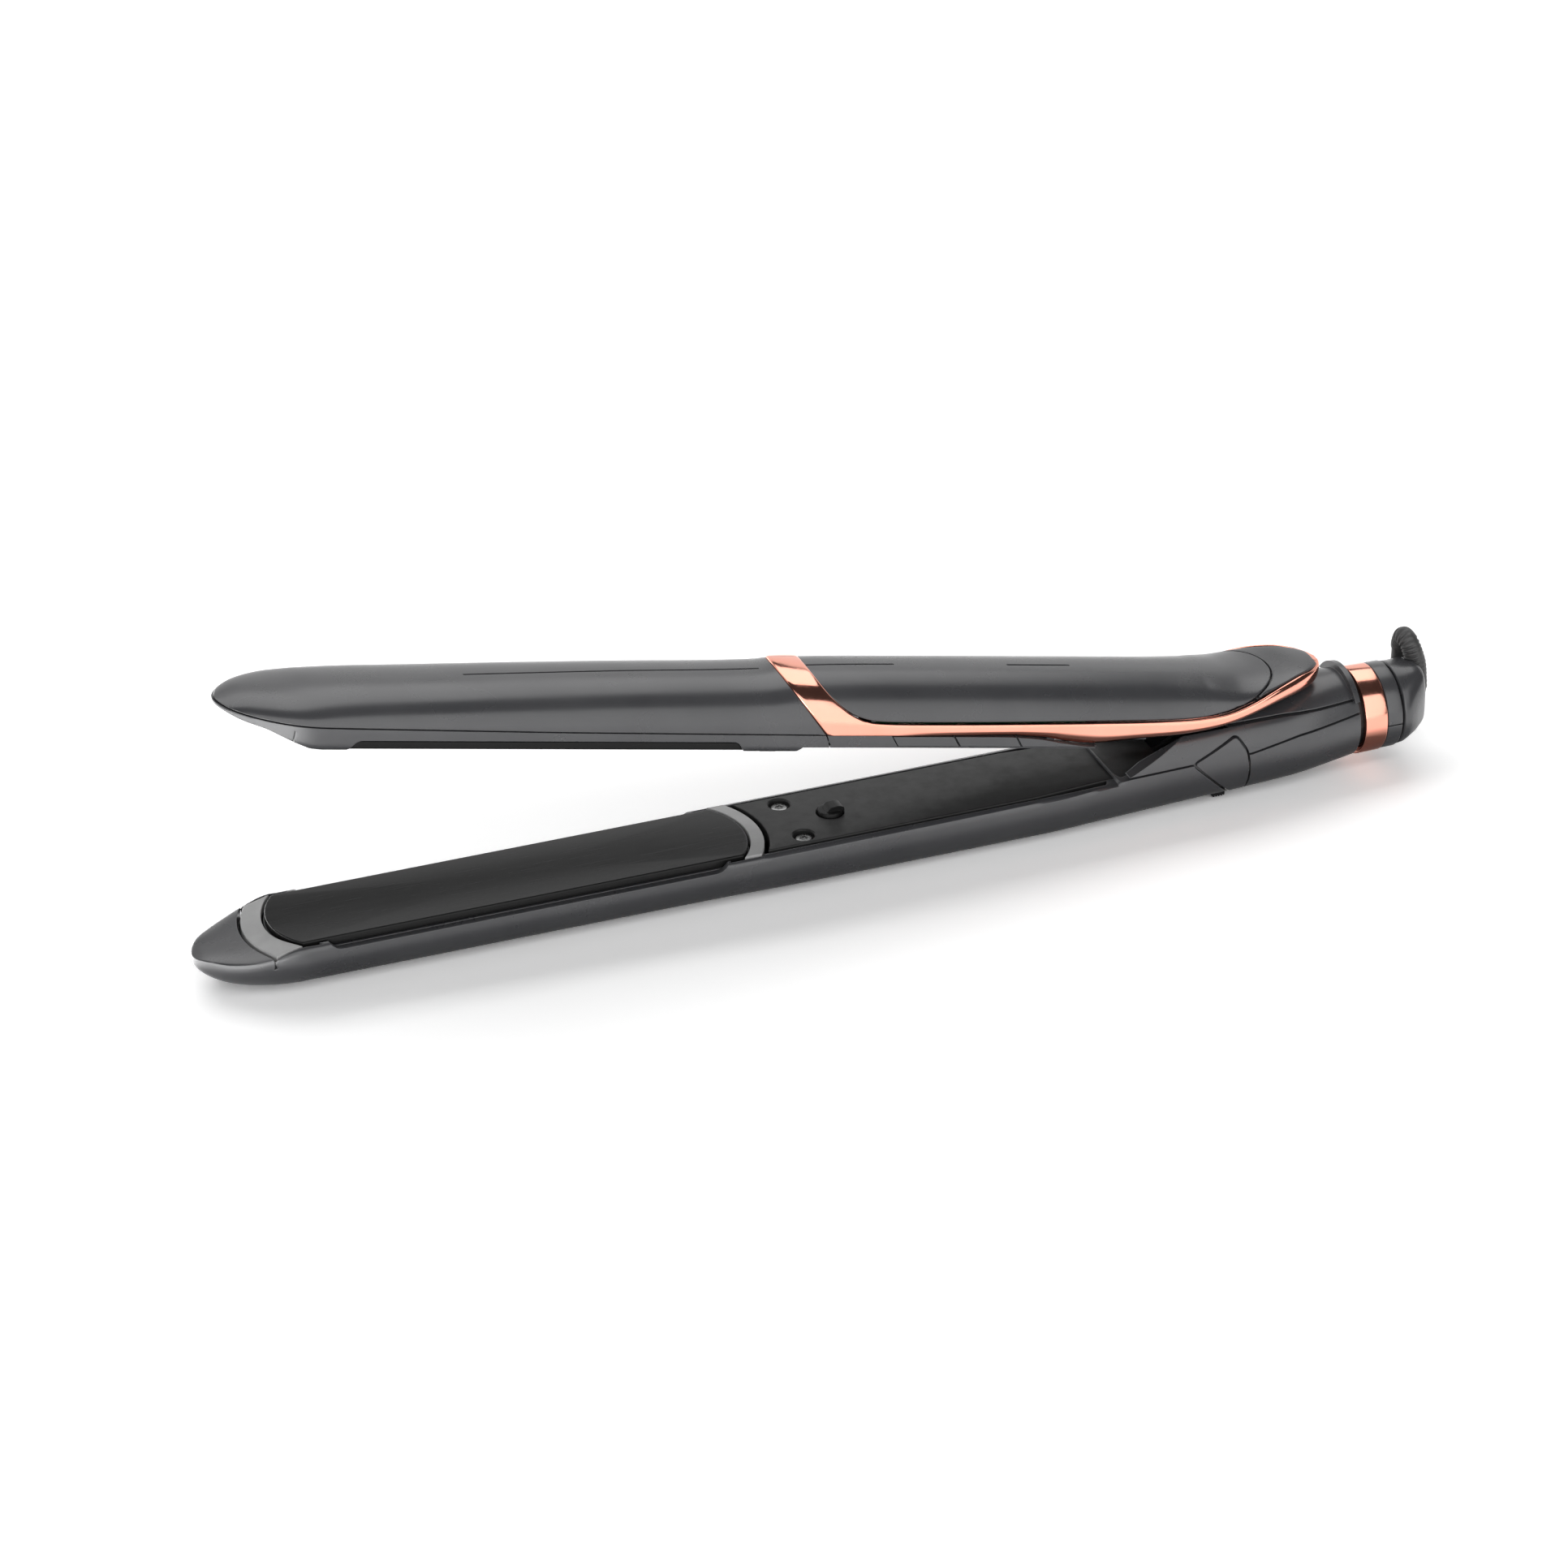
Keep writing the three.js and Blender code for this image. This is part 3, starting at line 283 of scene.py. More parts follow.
def ring_at(shape, x, i, grow):
    """One closed cross-section, from the +Y side over the top."""
    w = max(shape["w"][i] + grow, 0.12)
    waist = shape["waist"][i]
    rise = max(shape["top"][i] + grow - waist, 0.05)
    drop = max(waist - shape["bottom"][i] + grow, 0.05)
    uy, uz = quarter(w, rise, shape["up"][i])
    dy, dz = quarter(w, drop, shape["down"][i])
    y = np.concatenate([uy, -uy[-2::-1], -dy[1:], dy[-2:0:-1]])
    z = np.concatenate([uz, uz[-2::-1], -dz[1:], -dz[-2:0:-1]])
    return np.stack([np.full(len(y), x), y, waist + z], 1)


# ---------------------------------------------------------------- solids
workbench = bpy.data.collections.new("workbench")
bpy.context.scene.collection.children.link(workbench)


def solid(points, faces):
    """A closed mesh on the workbench, with its faces pointing out."""
    p = np.asarray(points, float)
    corners = np.array([(f[0], a, b) for f in faces for a, b in zip(f[1:-1], f[2:])])
    a, b, c = p[corners[:, 0]], p[corners[:, 1]], p[corners[:, 2]]
    if np.sum(a * np.cross(b, c)) < 0:
        faces = [tuple(reversed(f)) for f in faces]
    mesh = bpy.data.meshes.new("solid")
    mesh.from_pydata(p.tolist(), [], faces)
    obj = bpy.data.objects.new("solid", mesh)
    workbench.objects.link(obj)
    return obj


def combine(a, b, operation):
    modifier = a.modifiers.new("combine", "BOOLEAN")
    modifier.operation = operation
    modifier.solver = "MANIFOLD"
    modifier.object = b
    graph = bpy.context.evaluated_depsgraph_get()
    mesh = bpy.data.meshes.new_from_object(a.evaluated_get(graph))
    a.modifiers.clear()
    a.data = mesh
    bpy.data.objects.remove(b)
    return a


def cut(a, *others):
    for other in others:
        combine(a, other, "DIFFERENCE")
    return a


def meet(a, *others):
    for other in others:
        combine(a, other, "INTERSECT")
    return a


def join(a, *others):
    for other in others:
        combine(a, other, "UNION")
    return a


def bands(rings, n, closed=False):
    """Faces between neighbouring rings of n points; closed joins the last ring to the first."""
    faces = []
    for r in range(rings if closed else rings - 1):
        a, b = r * n, (r + 1) % rings * n
        faces += [(a + i, a + (i + 1) % n, b + (i + 1) % n, b + i) for i in range(n)]
    return faces


def skin(rings):
    """A closed skin through rings of equal length, with a fan over each end."""
    rings = [np.asarray(r, float) for r in rings]
    n = len(rings[0])
    points = np.concatenate(rings + [rings[0].mean(0, keepdims=True), rings[-1].mean(0, keepdims=True)])
    first, last = len(points) - 2, len(points) - 1
    end = (len(rings) - 1) * n
    faces = bands(len(rings), n)
    faces += [(first, (i + 1) % n, i) for i in range(n)]
    faces += [(last, end + i, end + (i + 1) % n) for i in range(n)]
    return solid(points, faces)


def hull(shape, xs, grow=0.0):
    """A skin over the cross-sections at xs, each grown outwards."""
    return skin([ring_at(shape, x, i, grow) for i, x in enumerate(xs)])


def lower_hull(grow=0.0):
    return hull(lower_shape(LOWER_XS), LOWER_XS, grow)


def upper_hull(grow=0.0):
    return hull(upper_shape(UPPER_XS), UPPER_XS, grow)


def prism(outline, lo, hi, axis):
    """An outline pushed from lo to hi along y (a side view, x and z) or z (a plan, x and y)."""
    o = [tuple(p) for p in outline]
    n = len(o)
    if axis == "y":
        points = [(x, lo, z) for x, z in o] + [(x, hi, z) for x, z in o]
    else:
        points = [(x, y, lo) for x, y in o] + [(x, y, hi) for x, y in o]
    faces = [tuple(range(n)), tuple(range(2 * n - 1, n - 1, -1))]
    faces += [(i, n + i, n + (i + 1) % n, (i + 1) % n) for i in range(n)]
    return solid(points, faces)


def side_prism(outline, lo=-SIDE, hi=SIDE):
    return prism(outline, lo, hi, "y")


def plan_prism(outline, lo, hi):
    return prism(outline, lo, hi, "z")


def block(x0, x1, y0, y1, z0, z1):
    return plan_prism([(x0, y0), (x1, y0), (x1, y1), (x0, y1)], z0, z1)


def slab(x0, x1, z0=-SIDE, z1=SIDE):
    """A block that reaches past the object on both sides."""
    return block(x0, x1, -SIDE, SIDE, z0, z1)


def above(line, top=SIDE):
    line = [tuple(p) for p in line]
    return side_prism(line + [(line[-1][0], top), (line[0][0], top)])


def below(line, bottom=-SIDE):
    return above(line, bottom)


def seam(line, width=GAP):
    """A strip of even width along a side-view line, which opens a seam."""
    p = np.array(line, float)
    tangent = directions(p)
    normal = np.stack([-tangent[:, 1], tangent[:, 0]], 1) * width / 2
    return side_prism(np.concatenate([p + normal, (p - normal)[::-1]]))


def turned(profile, axis, at=(0.0, 0.0, 0.0), sides=72):
    """A profile of (distance along the axis, radius) pairs, turned about a line through at."""
    rings = []
    for d, r in profile:
        c, s = r * np.cos(around(sides)), r * np.sin(around(sides))
        flat = np.full(sides, float(d))
        columns = {"x": (flat, c, s), "y": (s, flat, c), "z": (c, s, flat)}[axis]
        rings.append(np.stack(columns, 1) + np.array(at))
    return rings


def rod(axis, radius, lo, hi, at=(0.0, 0.0, 0.0), sides=48):
    return skin(turned([(lo, radius), (hi, radius)], axis, at, sides))


def tube_ring(profile, axis, at, sides=96):
    """A ring turned from a closed profile that doesn't touch the axis."""
    rings = turned(profile, axis, at, sides)
    return solid(np.concatenate(rings), bands(len(rings), sides, True))


def rounded_profile(x0, x1, r0, r1, radius, steps=4):
    """A rectangle of lengths x0..x1 and radii r0..r1 with its outer corners rounded."""
    points = [(x0, r0)]
    for cx, start in ((x0 + radius, math.pi), (x1 - radius, math.pi / 2)):
        for k in range(steps + 1):
            a = start - math.pi / 2 * k / steps
            points.append((cx + radius * math.cos(a), r1 - radius + radius * math.sin(a)))
    points.append((x1, r0))
    return points


# ---------------------------------------------------------------- from arm coordinates to the row frame
def to_row(points, upper):
    p = np.asarray(points, float) - HINGE
    if upper:
        c, s = math.cos(OPEN_ANGLE), math.sin(OPEN_ANGLE)
        p = np.stack([p[:, 0] * c + p[:, 2] * s, p[:, 1], p[:, 2] * c - p[:, 0] * s], 1)
    return (p + HINGE - ORIGIN) * MM


# ---------------------------------------------------------------- outlines shared by both arms
def arc_centre(bulge, corner, direction):
    """Centre and radius of the arc that bulges out of a plate's end."""
    radius = (PLATE_HALF**2 + bulge**2) / (2 * bulge)
    return corner + direction * (bulge - radius), radius


FRONT_ARC = arc_centre(FRONT_BULGE, 0.0, -1)
REAR_ARC = arc_centre(REAR_BULGE, PLATE_LENGTH, 1)


def arc_points(arc, radius, half, direction):
    """Points of an arc about (arc centre, 0), from -half to +half across."""
    reach = math.asin(min(1.0, half / radius))
    a = np.linspace(-reach, reach, ARC_STEPS + 1)
    return [(arc[0] + direction * radius * math.cos(t), radius * math.sin(t)) for t in a]


def plate_outline(grow):
    half = PLATE_HALF + grow
    front = arc_points(FRONT_ARC, FRONT_ARC[1] + grow, half, -1)
    return arc_points(REAR_ARC, REAR_ARC[1] + grow, half, 1) + front[::-1]


def crescent_outline(arc, direction, inner, outer, half):
    near = arc_points(arc, arc[1] + inner, min(half, arc[1]), direction)
    return near + arc_points(arc, arc[1] + outer, half, direction)[::-1]


def strip_plan(side, grow=0.0):
    """The plan of a strip behind the rear insulator: a hollow front edge, and one side mirrored."""
    edge = arc_points(REAR_ARC, COVER_FRONT - REAR_ARC[0], COVER_HALF, 1)
    front = [(x - grow, y * (1 + grow / COVER_HALF)) for x, y in edge]
    return front + side + [(x, -y) for x, y in reversed(side)]


def pillow(outline_at, bottom, top, radius, steps=5, strip=False):
    """A flat piece with a rounded upper edge. outline_at(grow) gives the plan grown by that much."""
    rings = [[(x, y, bottom) for x, y in outline_at(0)]]
    for k in range(steps + 1):
        a = math.pi / 2 * k / steps
        grow = -radius * (1 - math.cos(a))
        z = top - radius + radius * math.sin(a)
        rings.append([(x, y, z) for x, y in outline_at(grow)])
    return ribbon_stack(rings) if strip else skin(rings)


def nose_line(tip_z):
    """The sloping face under the plates, from the tip to the plate ends."""
    sign = math.copysign(1, tip_z)
    line = [(-NOSE - 1.5, tip_z - sign * 0.1), (-NOSE, tip_z - sign * 0.3), (-18.5, sign * 5.45),
            (-13.5, sign * 4.95), (-1.6, sign * 0.5), (0.2, sign * 0.2)]
    return rounded_line(line, 0.8, 4)


def nose_face_z(x):
    t = (x + 13.5) / 12.5
    return -lerp(5.0, 0.2, t) - 0.1


def flip(obj, upper):
    """Mirrors a piece drawn for the lower arm, when it is meant for the upper one."""
    if upper:
        for v in obj.data.vertices:
            v.co.z = -v.co.z
        obj.data.flip_normals()
    return obj


def height_of(shape_at, x, y):
    """Height of a hull's upper surface over a point of the plan."""
    s = shape_at(x)
    share = np.clip(1 - np.abs(y / s["w"]) ** s["up"], 0, 1)
    return s["waist"] + (s["top"] - s["waist"]) * share ** (1 / s["up"])


def front_insulator():
    """The crescent at the nose: it follows the nose's surface and its edges are rounded."""
    def outline(grow):
        return np.array(crescent_outline(FRONT_ARC, -1, 0.75 - grow, 5.65 + grow, 12.7 + grow))
    rings = []
    for drop, grow in ((2.4, 0.0), (0.35, 0.0), (0.18, -0.04), (0.07, -0.14), (0.0, -0.32)):
        o = outline(grow)
        z = height_of(lower_shape, np.minimum(o[:, 0], -1.0), o[:, 1] * 0.97)
        rings.append(np.column_stack([o, z + 0.05 - drop]))
    return ribbon_stack(rings)


def ribbon_stack(rings):
    """A solid through closed rings whose two halves face each other, capped by strips between the halves."""
    n = len(rings[0])
    faces = bands(len(rings), n)
    last = (len(rings) - 1) * n
    for i in range(n // 2 - 1):
        faces.append((i, n - 1 - i, n - 2 - i, i + 1))
        faces.append((last + i, last + i + 1, last + n - 2 - i, last + n - 1 - i))
    return solid(np.concatenate([np.asarray(r, float) for r in rings]), faces)


def rear_insulator():
    def outline(grow):
        return crescent_outline(REAR_ARC, 1, 0.55 - grow, 3.9 + grow, 12.8 + grow)
    return pillow(outline, -2.4, -0.22, 0.35, strip=True)


def plate_well():
    """The hollow for the plate and both insulators."""
    well = plan_prism(plate_outline(0.6), -5.7, 1)
    front = plan_prism(crescent_outline(FRONT_ARC, -1, -2, 6.5, 13.2), -20, 1)
    seat = side_prism([(-15, nose_face_z(-15) - 2.7), (-1, -2.9), (6, -2.9), (6, 2), (-15, 2)])
    rear = plan_prism(crescent_outline(REAR_ARC, 1, -2, 4.3, 13.2), -2.9, 1)
    return join(well, meet(front, seat), rear)


def rim_cut(low=RIM_LOW):
    """The long scallop beside the plates, with rounded ends."""
    front = [(RIM_FRONT - 1.2, 1), (RIM_FRONT + 0.4, -0.9), (RIM_FRONT + RIM_BEVEL, -low)]
    rear = [(RIM_REAR - RIM_BEVEL, -low), (RIM_REAR - 0.4, -0.9), (RIM_REAR + 1.2, 1)]
    return side_prism(rounded_line(front + rear, 0.5, 5))


def heating_plate():
    plate = pillow(plate_outline, -2.15, -0.15, 0.45)
    return join(plate, block(10, PLATE_LENGTH - 10, -7, 7, -3.2, -2.0))


def cover_screw(at):
    """A dished screw head with a six-lobed socket, and its shank."""
    top, head = -0.9, 2.1
    profile = [(top - 7, 1.2), (top - 1.0, 1.2), (top - 0.85, head), (top - 0.5, head),
               (top - 0.35, head - 0.12), (top - 0.25, head - 0.35)]
    a = around(72)
    r = 0.92 + 0.16 * np.cos(6 * a)
    socket = [np.stack([at[0] + r * np.cos(a), at[1] + r * np.sin(a), np.full(len(a), z)], 1)
              for z in (top - 0.55, top + 0.4)]
    return cut(skin(turned(profile, "z", at, 48)), skin(socket))


# ---------------------------------------------------------------- lower arm
HUB_SEAM = [(190, 0.5), (243, 0.5), (256, 2.6), (280, 4.6)]
HUB_TOP_LINE = [(200, 7.6), (280, 7.0)]
COLLAR = (271.9, 273.3)
CHEEK_EDGE = [(209.3, 0.5), (231.5, 9.6)]
SADDLE = [(227.5, 0.6), (239.2, 5.2), (241.4, 1.5), (242.2, -3), (242.7, -9), (244.6, -20), (241.2, -20),
          (240.8, -13)]
SADDLE_SKIN = 1.1


def lower_cavity():
    """The hollow of the lower arm, with thicker walls and more height in the hub."""
    xs = LOWER_XS[(LOWER_XS > -6) & (LOWER_XS < 270)]
    shape = lower_shape(xs)
    hub = xs > HUB_FRONT + 1
    wall = np.where(hub, HUB_WALL, WALL)
    shape["w"] = shape["w"] - wall
    shape["bottom"] = shape["bottom"] + wall
    shape["top"] = np.where(hub, np.minimum(shape["top"] - WALL, np.interp(xs, [205, 232], [3, 8])), 3.0)
    return hull(shape, xs)


def shift(line, dz):
    return [(x, z + dz) for x, z in line]


def grow_outline(outline, amount):
    """A closed outline with every edge moved outwards, its corners mitred."""
    p = np.array(outline, float)
    before = p - np.roll(p, 1, 0)
    after = np.roll(p, -1, 0) - p
    n0 = np.stack([-before[:, 1], before[:, 0]], 1) / np.linalg.norm(before, axis=1, keepdims=True)
    n1 = np.stack([-after[:, 1], after[:, 0]], 1) / np.linalg.norm(after, axis=1, keepdims=True)
    bisector = n0 + n1
    bisector /= np.linalg.norm(bisector, axis=1, keepdims=True)
    reach = amount / np.sum(bisector * n1, axis=1, keepdims=True)
    return p + bisector * reach


def rounded_outline(outline, radius, steps=4):
    """A closed outline whose corners are replaced by short arcs."""
    p = np.array(outline, float)
    points = []
    for i in range(len(p)):
        a, b, c = p[i - 1], p[i], p[(i + 1) % len(p)]
        u, v = (a - b) / np.linalg.norm(a - b), (c - b) / np.linalg.norm(c - b)
        reach = min(radius, 0.45 * np.linalg.norm(a - b), 0.45 * np.linalg.norm(c - b))
        for k in range(steps + 1):
            t = k / steps
            points.append((1 - t) ** 2 * (b + u * reach) + 2 * t * (1 - t) * b + t * t * (b + v * reach))
    return points


SADDLE_EDGE = rounded_outline(SADDLE, 1.1)


def saddle_zone(grow):
    return side_prism(grow_outline(SADDLE_EDGE, grow) if grow else SADDLE_EDGE)


def saddle_seat():
    """The shallow pocket the saddle lies in."""
    return meet(cut(lower_hull(2), lower_hull(-SADDLE_SKIN - GAP)), saddle_zone(0.6))


def hinge_saddle():
    """The saddle strapped round the hub under the hinge, with a kite on each side."""
    return meet(cut(lower_hull(0.05), lower_hull(-SADDLE_SKIN)), saddle_zone(0))


def hinge_bosses():
    """A boss inside each cheek, which holds an end of the hinge pin."""
    at = (HINGE[0], 0, HINGE[2])
    bosses = join(rod("y", 4.6, -12.4, -8.8, at), rod("y", 4.6, 8.8, 12.4, at))
    return meet(bosses, lower_hull(-1.6), below(shift(HUB_SEAM, -GAP)))


def screw_posts():
    posts = join(*[rod("z", 3, -16, COVER_TOP - 2.9, at) for at in SCREW_PLACES])
    return meet(posts, lower_hull(-0.4))


def screw_holes():
    """Two stepped holes through the inner cover."""
    z = COVER_TOP
    holes = []
    for at in SCREW_PLACES:
        holes.append(skin(turned([(z - 1.3, 2.6), (z - 0.35, 2.6), (z, 2.95), (z + 1, 2.95)], "z", at, 48)))
        holes.append(rod("z", 1.5, z - 12, 1, at))
    return join(*holes)


def lock_slot():
    """The slot in the belly that the lock slides in."""
    return block(232.3, 240.3, -LOCK_HALF - GAP, LOCK_HALF + GAP, -SIDE, -9)


def socket_bore():
    """The bore at the back of the hub, for the socket of the cord."""
    return rod("x", RING_BORE, 265.8, 280, (0, 0, RING_Z))


def lower_housing():
    """The shell of the lower arm up to the hub's seam, with the belly ground flat where it rests."""
    body = meet(lower_hull(), join(slab(-40, 192, z1=2), below(shift(HUB_SEAM, -SEAM_HALF))))
    cut(body, lower_cavity())
    join(body, hinge_bosses(), screw_posts())
    pin = rod("y", 2.3, -11.5, 11.5, (HINGE[0], 0, HINGE[2]))
    return cut(body, plate_well(), rim_cut(), screw_holes(), pin, saddle_seat(), lock_slot(), socket_bore(),
               slab(-40, 300, z1=REST_Z))


def cheek_cut():
    """What lies ahead of the slanted front edge of the cheeks."""
    line = rounded_line([(198, 0.2)] + CHEEK_EDGE + [(233, 11.4)], 1.0, 1)
    return side_prism(line + [(240, SIDE), (198, SIDE)])


def hub_frame():
    """The two cheeks beside the hinge and the hub behind them, between its two seams."""
    body = cut(lower_hull(), cheek_cut())
    meet(body, above(shift(HUB_SEAM, SEAM_HALF)), below(shift(HUB_TOP_LINE, -SEAM_HALF)))
    cavity = cut(lower_cavity(), slab(262, 265.8))
    return cut(body, cavity, saddle_seat(), socket_bore(), block(190, 238, -9.5, 9.5, 2, SIDE))


def hub_top_cover():
    """The top of the hub. It ends in a raised collar, with an open groove between collar and ring."""
    front, rear = COLLAR
    body = meet(lower_hull(), above(shift(HUB_TOP_LINE, SEAM_HALF)))
    cut(body, lower_cavity(), slab(190, 238))
    collar = cut(lower_hull(1.6), lower_hull(-1.2))
    meet(collar, slab(front, rear, 0), above([(200, 7.9), (280, 7.2)]))
    return cut(join(body, collar), slab(rear, 290), socket_bore())


def inner_cover():
    """The strip behind the plate: two screws, the bumper's recess, and a narrow tail between the cheeks."""
    narrow = COVER_HALF - 1.4

    def outline(grow):
        side = [(186, COVER_HALF + grow), (HUB_FRONT, narrow + grow), (COVER_REAR + grow, narrow + grow)]
        return strip_plan(side, grow)
    body = pillow(outline, COVER_TOP - 2.6, COVER_TOP, 0.4)
    recess = skin(turned([(COVER_TOP - 1.2, 3.3), (COVER_TOP - 0.3, 3.3), (COVER_TOP + 0.3, 3.8)], "z",
                         (BUMPER_X, 0, 0), 64))
    return cut(body, screw_holes(), recess)


def closing_bumper():
    """A rubber foot with a raised hook-shaped nose."""
    x = BUMPER_X
    foot = skin(turned([(COVER_TOP - 0.9, 3.0), (0.2, 3.0), (0.45, 2.85), (0.5, 2.6)], "z", (x, 0, 0), 48))
    nose = [(x - 1.8, 0), (x + 3.2, 0), (x + 3.0, 1.3), (x + 1.6, 1.8), (x - 0.6, 1.6)]
    return join(foot, side_prism(rounded_outline(nose, 0.6), -1.6, 1.6))


def lock_slider():
    """The knob under the hinge, ribbed across for the thumb, with a foot and a hook inside."""
    front, rear, belly = 236.6, 240.0, -14.1
    outline = [(front, -10.5), (rear, -10.5), (rear, belly - 0.8), (front, belly - 0.8)]
    knob = side_prism(rounded_outline(outline, 0.5), -LOCK_HALF, LOCK_HALF)
    for x in np.arange(front + 0.7, rear - 0.3, 0.7):
        cut(knob, slab(x, x + 0.3, z1=belly - 0.5))
    foot = block(front - 2, rear + 1, -LOCK_HALF - 1.2, LOCK_HALF + 1.2, -10.7, -9.7)
    hook = side_prism([(rear - 2, -9.8), (rear - 0.6, -9.8), (rear - 0.6, -8.4), (rear - 4, -8.4),
                       (rear - 4, -9.1), (rear - 2, -9.1)], -2, 2)
    return join(knob, foot, hook)


def trim_ring():
    profile = rounded_profile(RING_FRONT, RING_REAR, RING_BORE, RING_RADIUS, 0.3)
    return tube_ring(profile, "x", (0, 0, RING_Z), 128)


def end_cap(above_split):
    """Half of the cap behind the ring, above or below its split line."""
    profile = rounded_profile(RING_REAR + 0.25, END_CAP_REAR, RING_BORE, RING_RADIUS - 0.25, 0.25)
    split = RING_Z - 0.5
    half = slab(270, 300, split + GAP / 2) if above_split else slab(270, 300, z1=split - GAP / 2)
    return meet(tube_ring(profile, "x", (0, 0, RING_Z), 128), half)


# The swivel cap's sections: x, half-width, top and bottom from the ring's axis, and squareness.
SWIVEL_SECTIONS = [(SWIVEL_FRONT, 9.9, 9.9, 9.9, 2.0), (SWIVEL_FRONT + 0.12, 10.2, 10.2, 10.2, 2.0),
                   (SWIVEL_FRONT + 0.4, 10.4, 10.4, 10.4, 2.0), (287.2, 10.35, 10.35, 10.3, 2.0),
                   (288.2, 10.0, 10.3, 9.5, 2.1), (290.5, 8.3, 10.2, 7.6, 2.7), (292.4, 6.7, 10.0, 6.0, 3.2),
                   (293.2, 6.0, 9.7, 5.3, 3.4), (293.55, 5.5, 9.3, 4.9, 3.4), (293.7, 4.9, 8.7, 4.3, 3.4)]


def swivel_cap():
    """A round collar that tapers to a rounded block, with a channel for the cord guard behind."""
    rings = []
    for x, w, rise, drop, power in SWIVEL_SECTIONS:
        shape = {"w": [w], "top": [RING_Z + rise], "bottom": [RING_Z - drop], "waist": [RING_Z],
                 "up": [power], "down": [power]}
        rings.append(ring_at(shape, x, 0, 0))
    stub = skin(turned([(271, 5.6), (SWIVEL_FRONT + 0.5, 5.6)], "x", (0, 0, RING_Z), 96))
    channel = sweep(cord_stretch(0, 0.5, 60), lambda t: 3.05, 32)
    return cut(join(skin(rings), stub), channel)


CORD_POINTS = [(288, 0, -0.4), (291.8, 0.2, -0.2), (294.6, 1.4, 2.2), (294.7, 2.3, 6.5),
               (293.9, 3, 10.6), (293.2, 4.4, 13.2), (293.1, 6.4, 13.6), (293.3, 8.5, 10.9),
               (293.9, 9.9, 6.4), (294.3, 11.3, 1.6), (293.8, 12.7, -4), (292.6, 13.4, -11.4)]
RELIEF_SHARE = 0.55
CORD_SHARE = 0.57


def cord_line(count=400):
    """A smooth curve through the cord points, resampled evenly."""
    p = np.array(CORD_POINTS, float)
    length = lengths(p)
    s = np.linspace(0, length[-1], count)
    curve = np.stack([smooth(list(zip(length, column)), s) for column in p.T], 1)
    return resample(softened(curve, 60), count)


CORD_LINE = cord_line()


def cord_stretch(a, b, count):
    """The part of the cord's line between two shares of its length."""
    n = len(CORD_LINE) - 1
    return resample(CORD_LINE[int(a * n):int(b * n) + 1], count)


def sweep(line, radius_at, sides):
    """A tube along a line; the section is carried along without twisting."""
    tangent = directions(line)
    side = np.cross(tangent[0], [0, 1, 0.2])
    side /= np.linalg.norm(side)
    rings = []
    for i, (p, t) in enumerate(zip(line, tangent)):
        side = side - t * np.dot(side, t)
        side /= np.linalg.norm(side)
        other = np.cross(t, side)
        a = around(sides)
        r = radius_at(i / (len(line) - 1))
        r = r(a) if callable(r) else r
        rings.append(p + np.outer(r * np.cos(a), side) + np.outer(r * np.sin(a), other))
    return skin(rings)


def strain_relief():
    """The cord guard: a tapered sleeve cut by slots on two sides, which leave ribs."""
    ribs = 26

    def radius(t):
        base = 2.75 - 0.4 * t
        phase = 0.5 - 0.5 * math.cos(2 * math.pi * ribs * t)
        depth = 0.42 * min(1, max(0, phase * 2.2 - 0.8)) * (1 if 0.06 < t < 0.97 else 0)
        return lambda a: base - depth * np.clip(1.6 * np.abs(np.cos(a)) - 0.35, 0, 1)
    return sweep(cord_stretch(0.02, RELIEF_SHARE, ribs * 10 + 1), radius, 40)


def cord():
    return sweep(cord_stretch(CORD_SHARE - 0.012, 1, 80), lambda t: 2.1, 40)


# ---------------------------------------------------------------- upper arm
SEAM_LINE = [(-40, 7.4), (-16, 6.9), (-8, 6.7), (0, 6.5), (60, 5.7), BAND_FOOT]
BAND_FRONT = [(112.6, 20), (114.6, 17.6), BAND_FOOT, (127.5, 2.6)]
RAIL_TOP = [(123.2, 17.4), (126, 14.4), (129.4, 11.8), (134, 9.4), (139, 8.3), (146, 8.1), (205, 8.9),
            (222, 9.6), (231, 11.0), (240, 14.3), (244, 16.2), (248, 17.8), (254.5, 19.5), (261, 20.2)]
CROWN = [(TAIL_START, 17.55), (236, 17.5), (242, 17.75), (248, 18.6), (254.5, 20.0), (261, 20.6)]
RAIL_BOTTOM = [BAND_FOOT, (172, 5.4), (182, 4.9), (190, 3.7), (197, 3.0), (208, 4.0), (222, 5.6), (232, 7.8),
               (239.5, 10.4), (248, 13.4), (254, 14.8), (261, 15.9)]
BUTTONS = {"mode_button_front": (143.0, 159.5), "mode_button_rear": (159.5, 176.0),
           "power_button": (176.0, 196.0)}


def rail_top_z(x):
    """Height of the rail's upper edge in the side view."""
    return smooth(RAIL_TOP, x)


def rail_bottom_z(x):
    """Height of the rail's lower edge in the side view."""
    return smooth(RAIL_BOTTOM, x)


def dense(curve, x0, x1, step=0.8):
    """Closely spaced points of a side-view curve."""
    xs = np.arange(x0, x1 + step / 2, step)
    return [(float(x), float(z)) for x, z in zip(xs, curve(xs))]


def upper_cavity():
    xs = UPPER_XS[(UPPER_XS > -6) & (UPPER_XS < 258)]
    shape = upper_shape(xs)
    shape["w"] = shape["w"] - WALL
    shape["top"] = shape["top"] - WALL
    shape["bottom"] = np.full(len(xs), -3.0)
    return hull(shape, xs)


def reach_and_power(s, dz):
    """How far a section reaches from its waist on dz's side, and the power of its curve there."""
    over = dz >= 0
    reach = np.where(over, s["top"] - s["waist"], s["waist"] - s["bottom"])
    return reach, np.where(over, s["up"], s["down"])


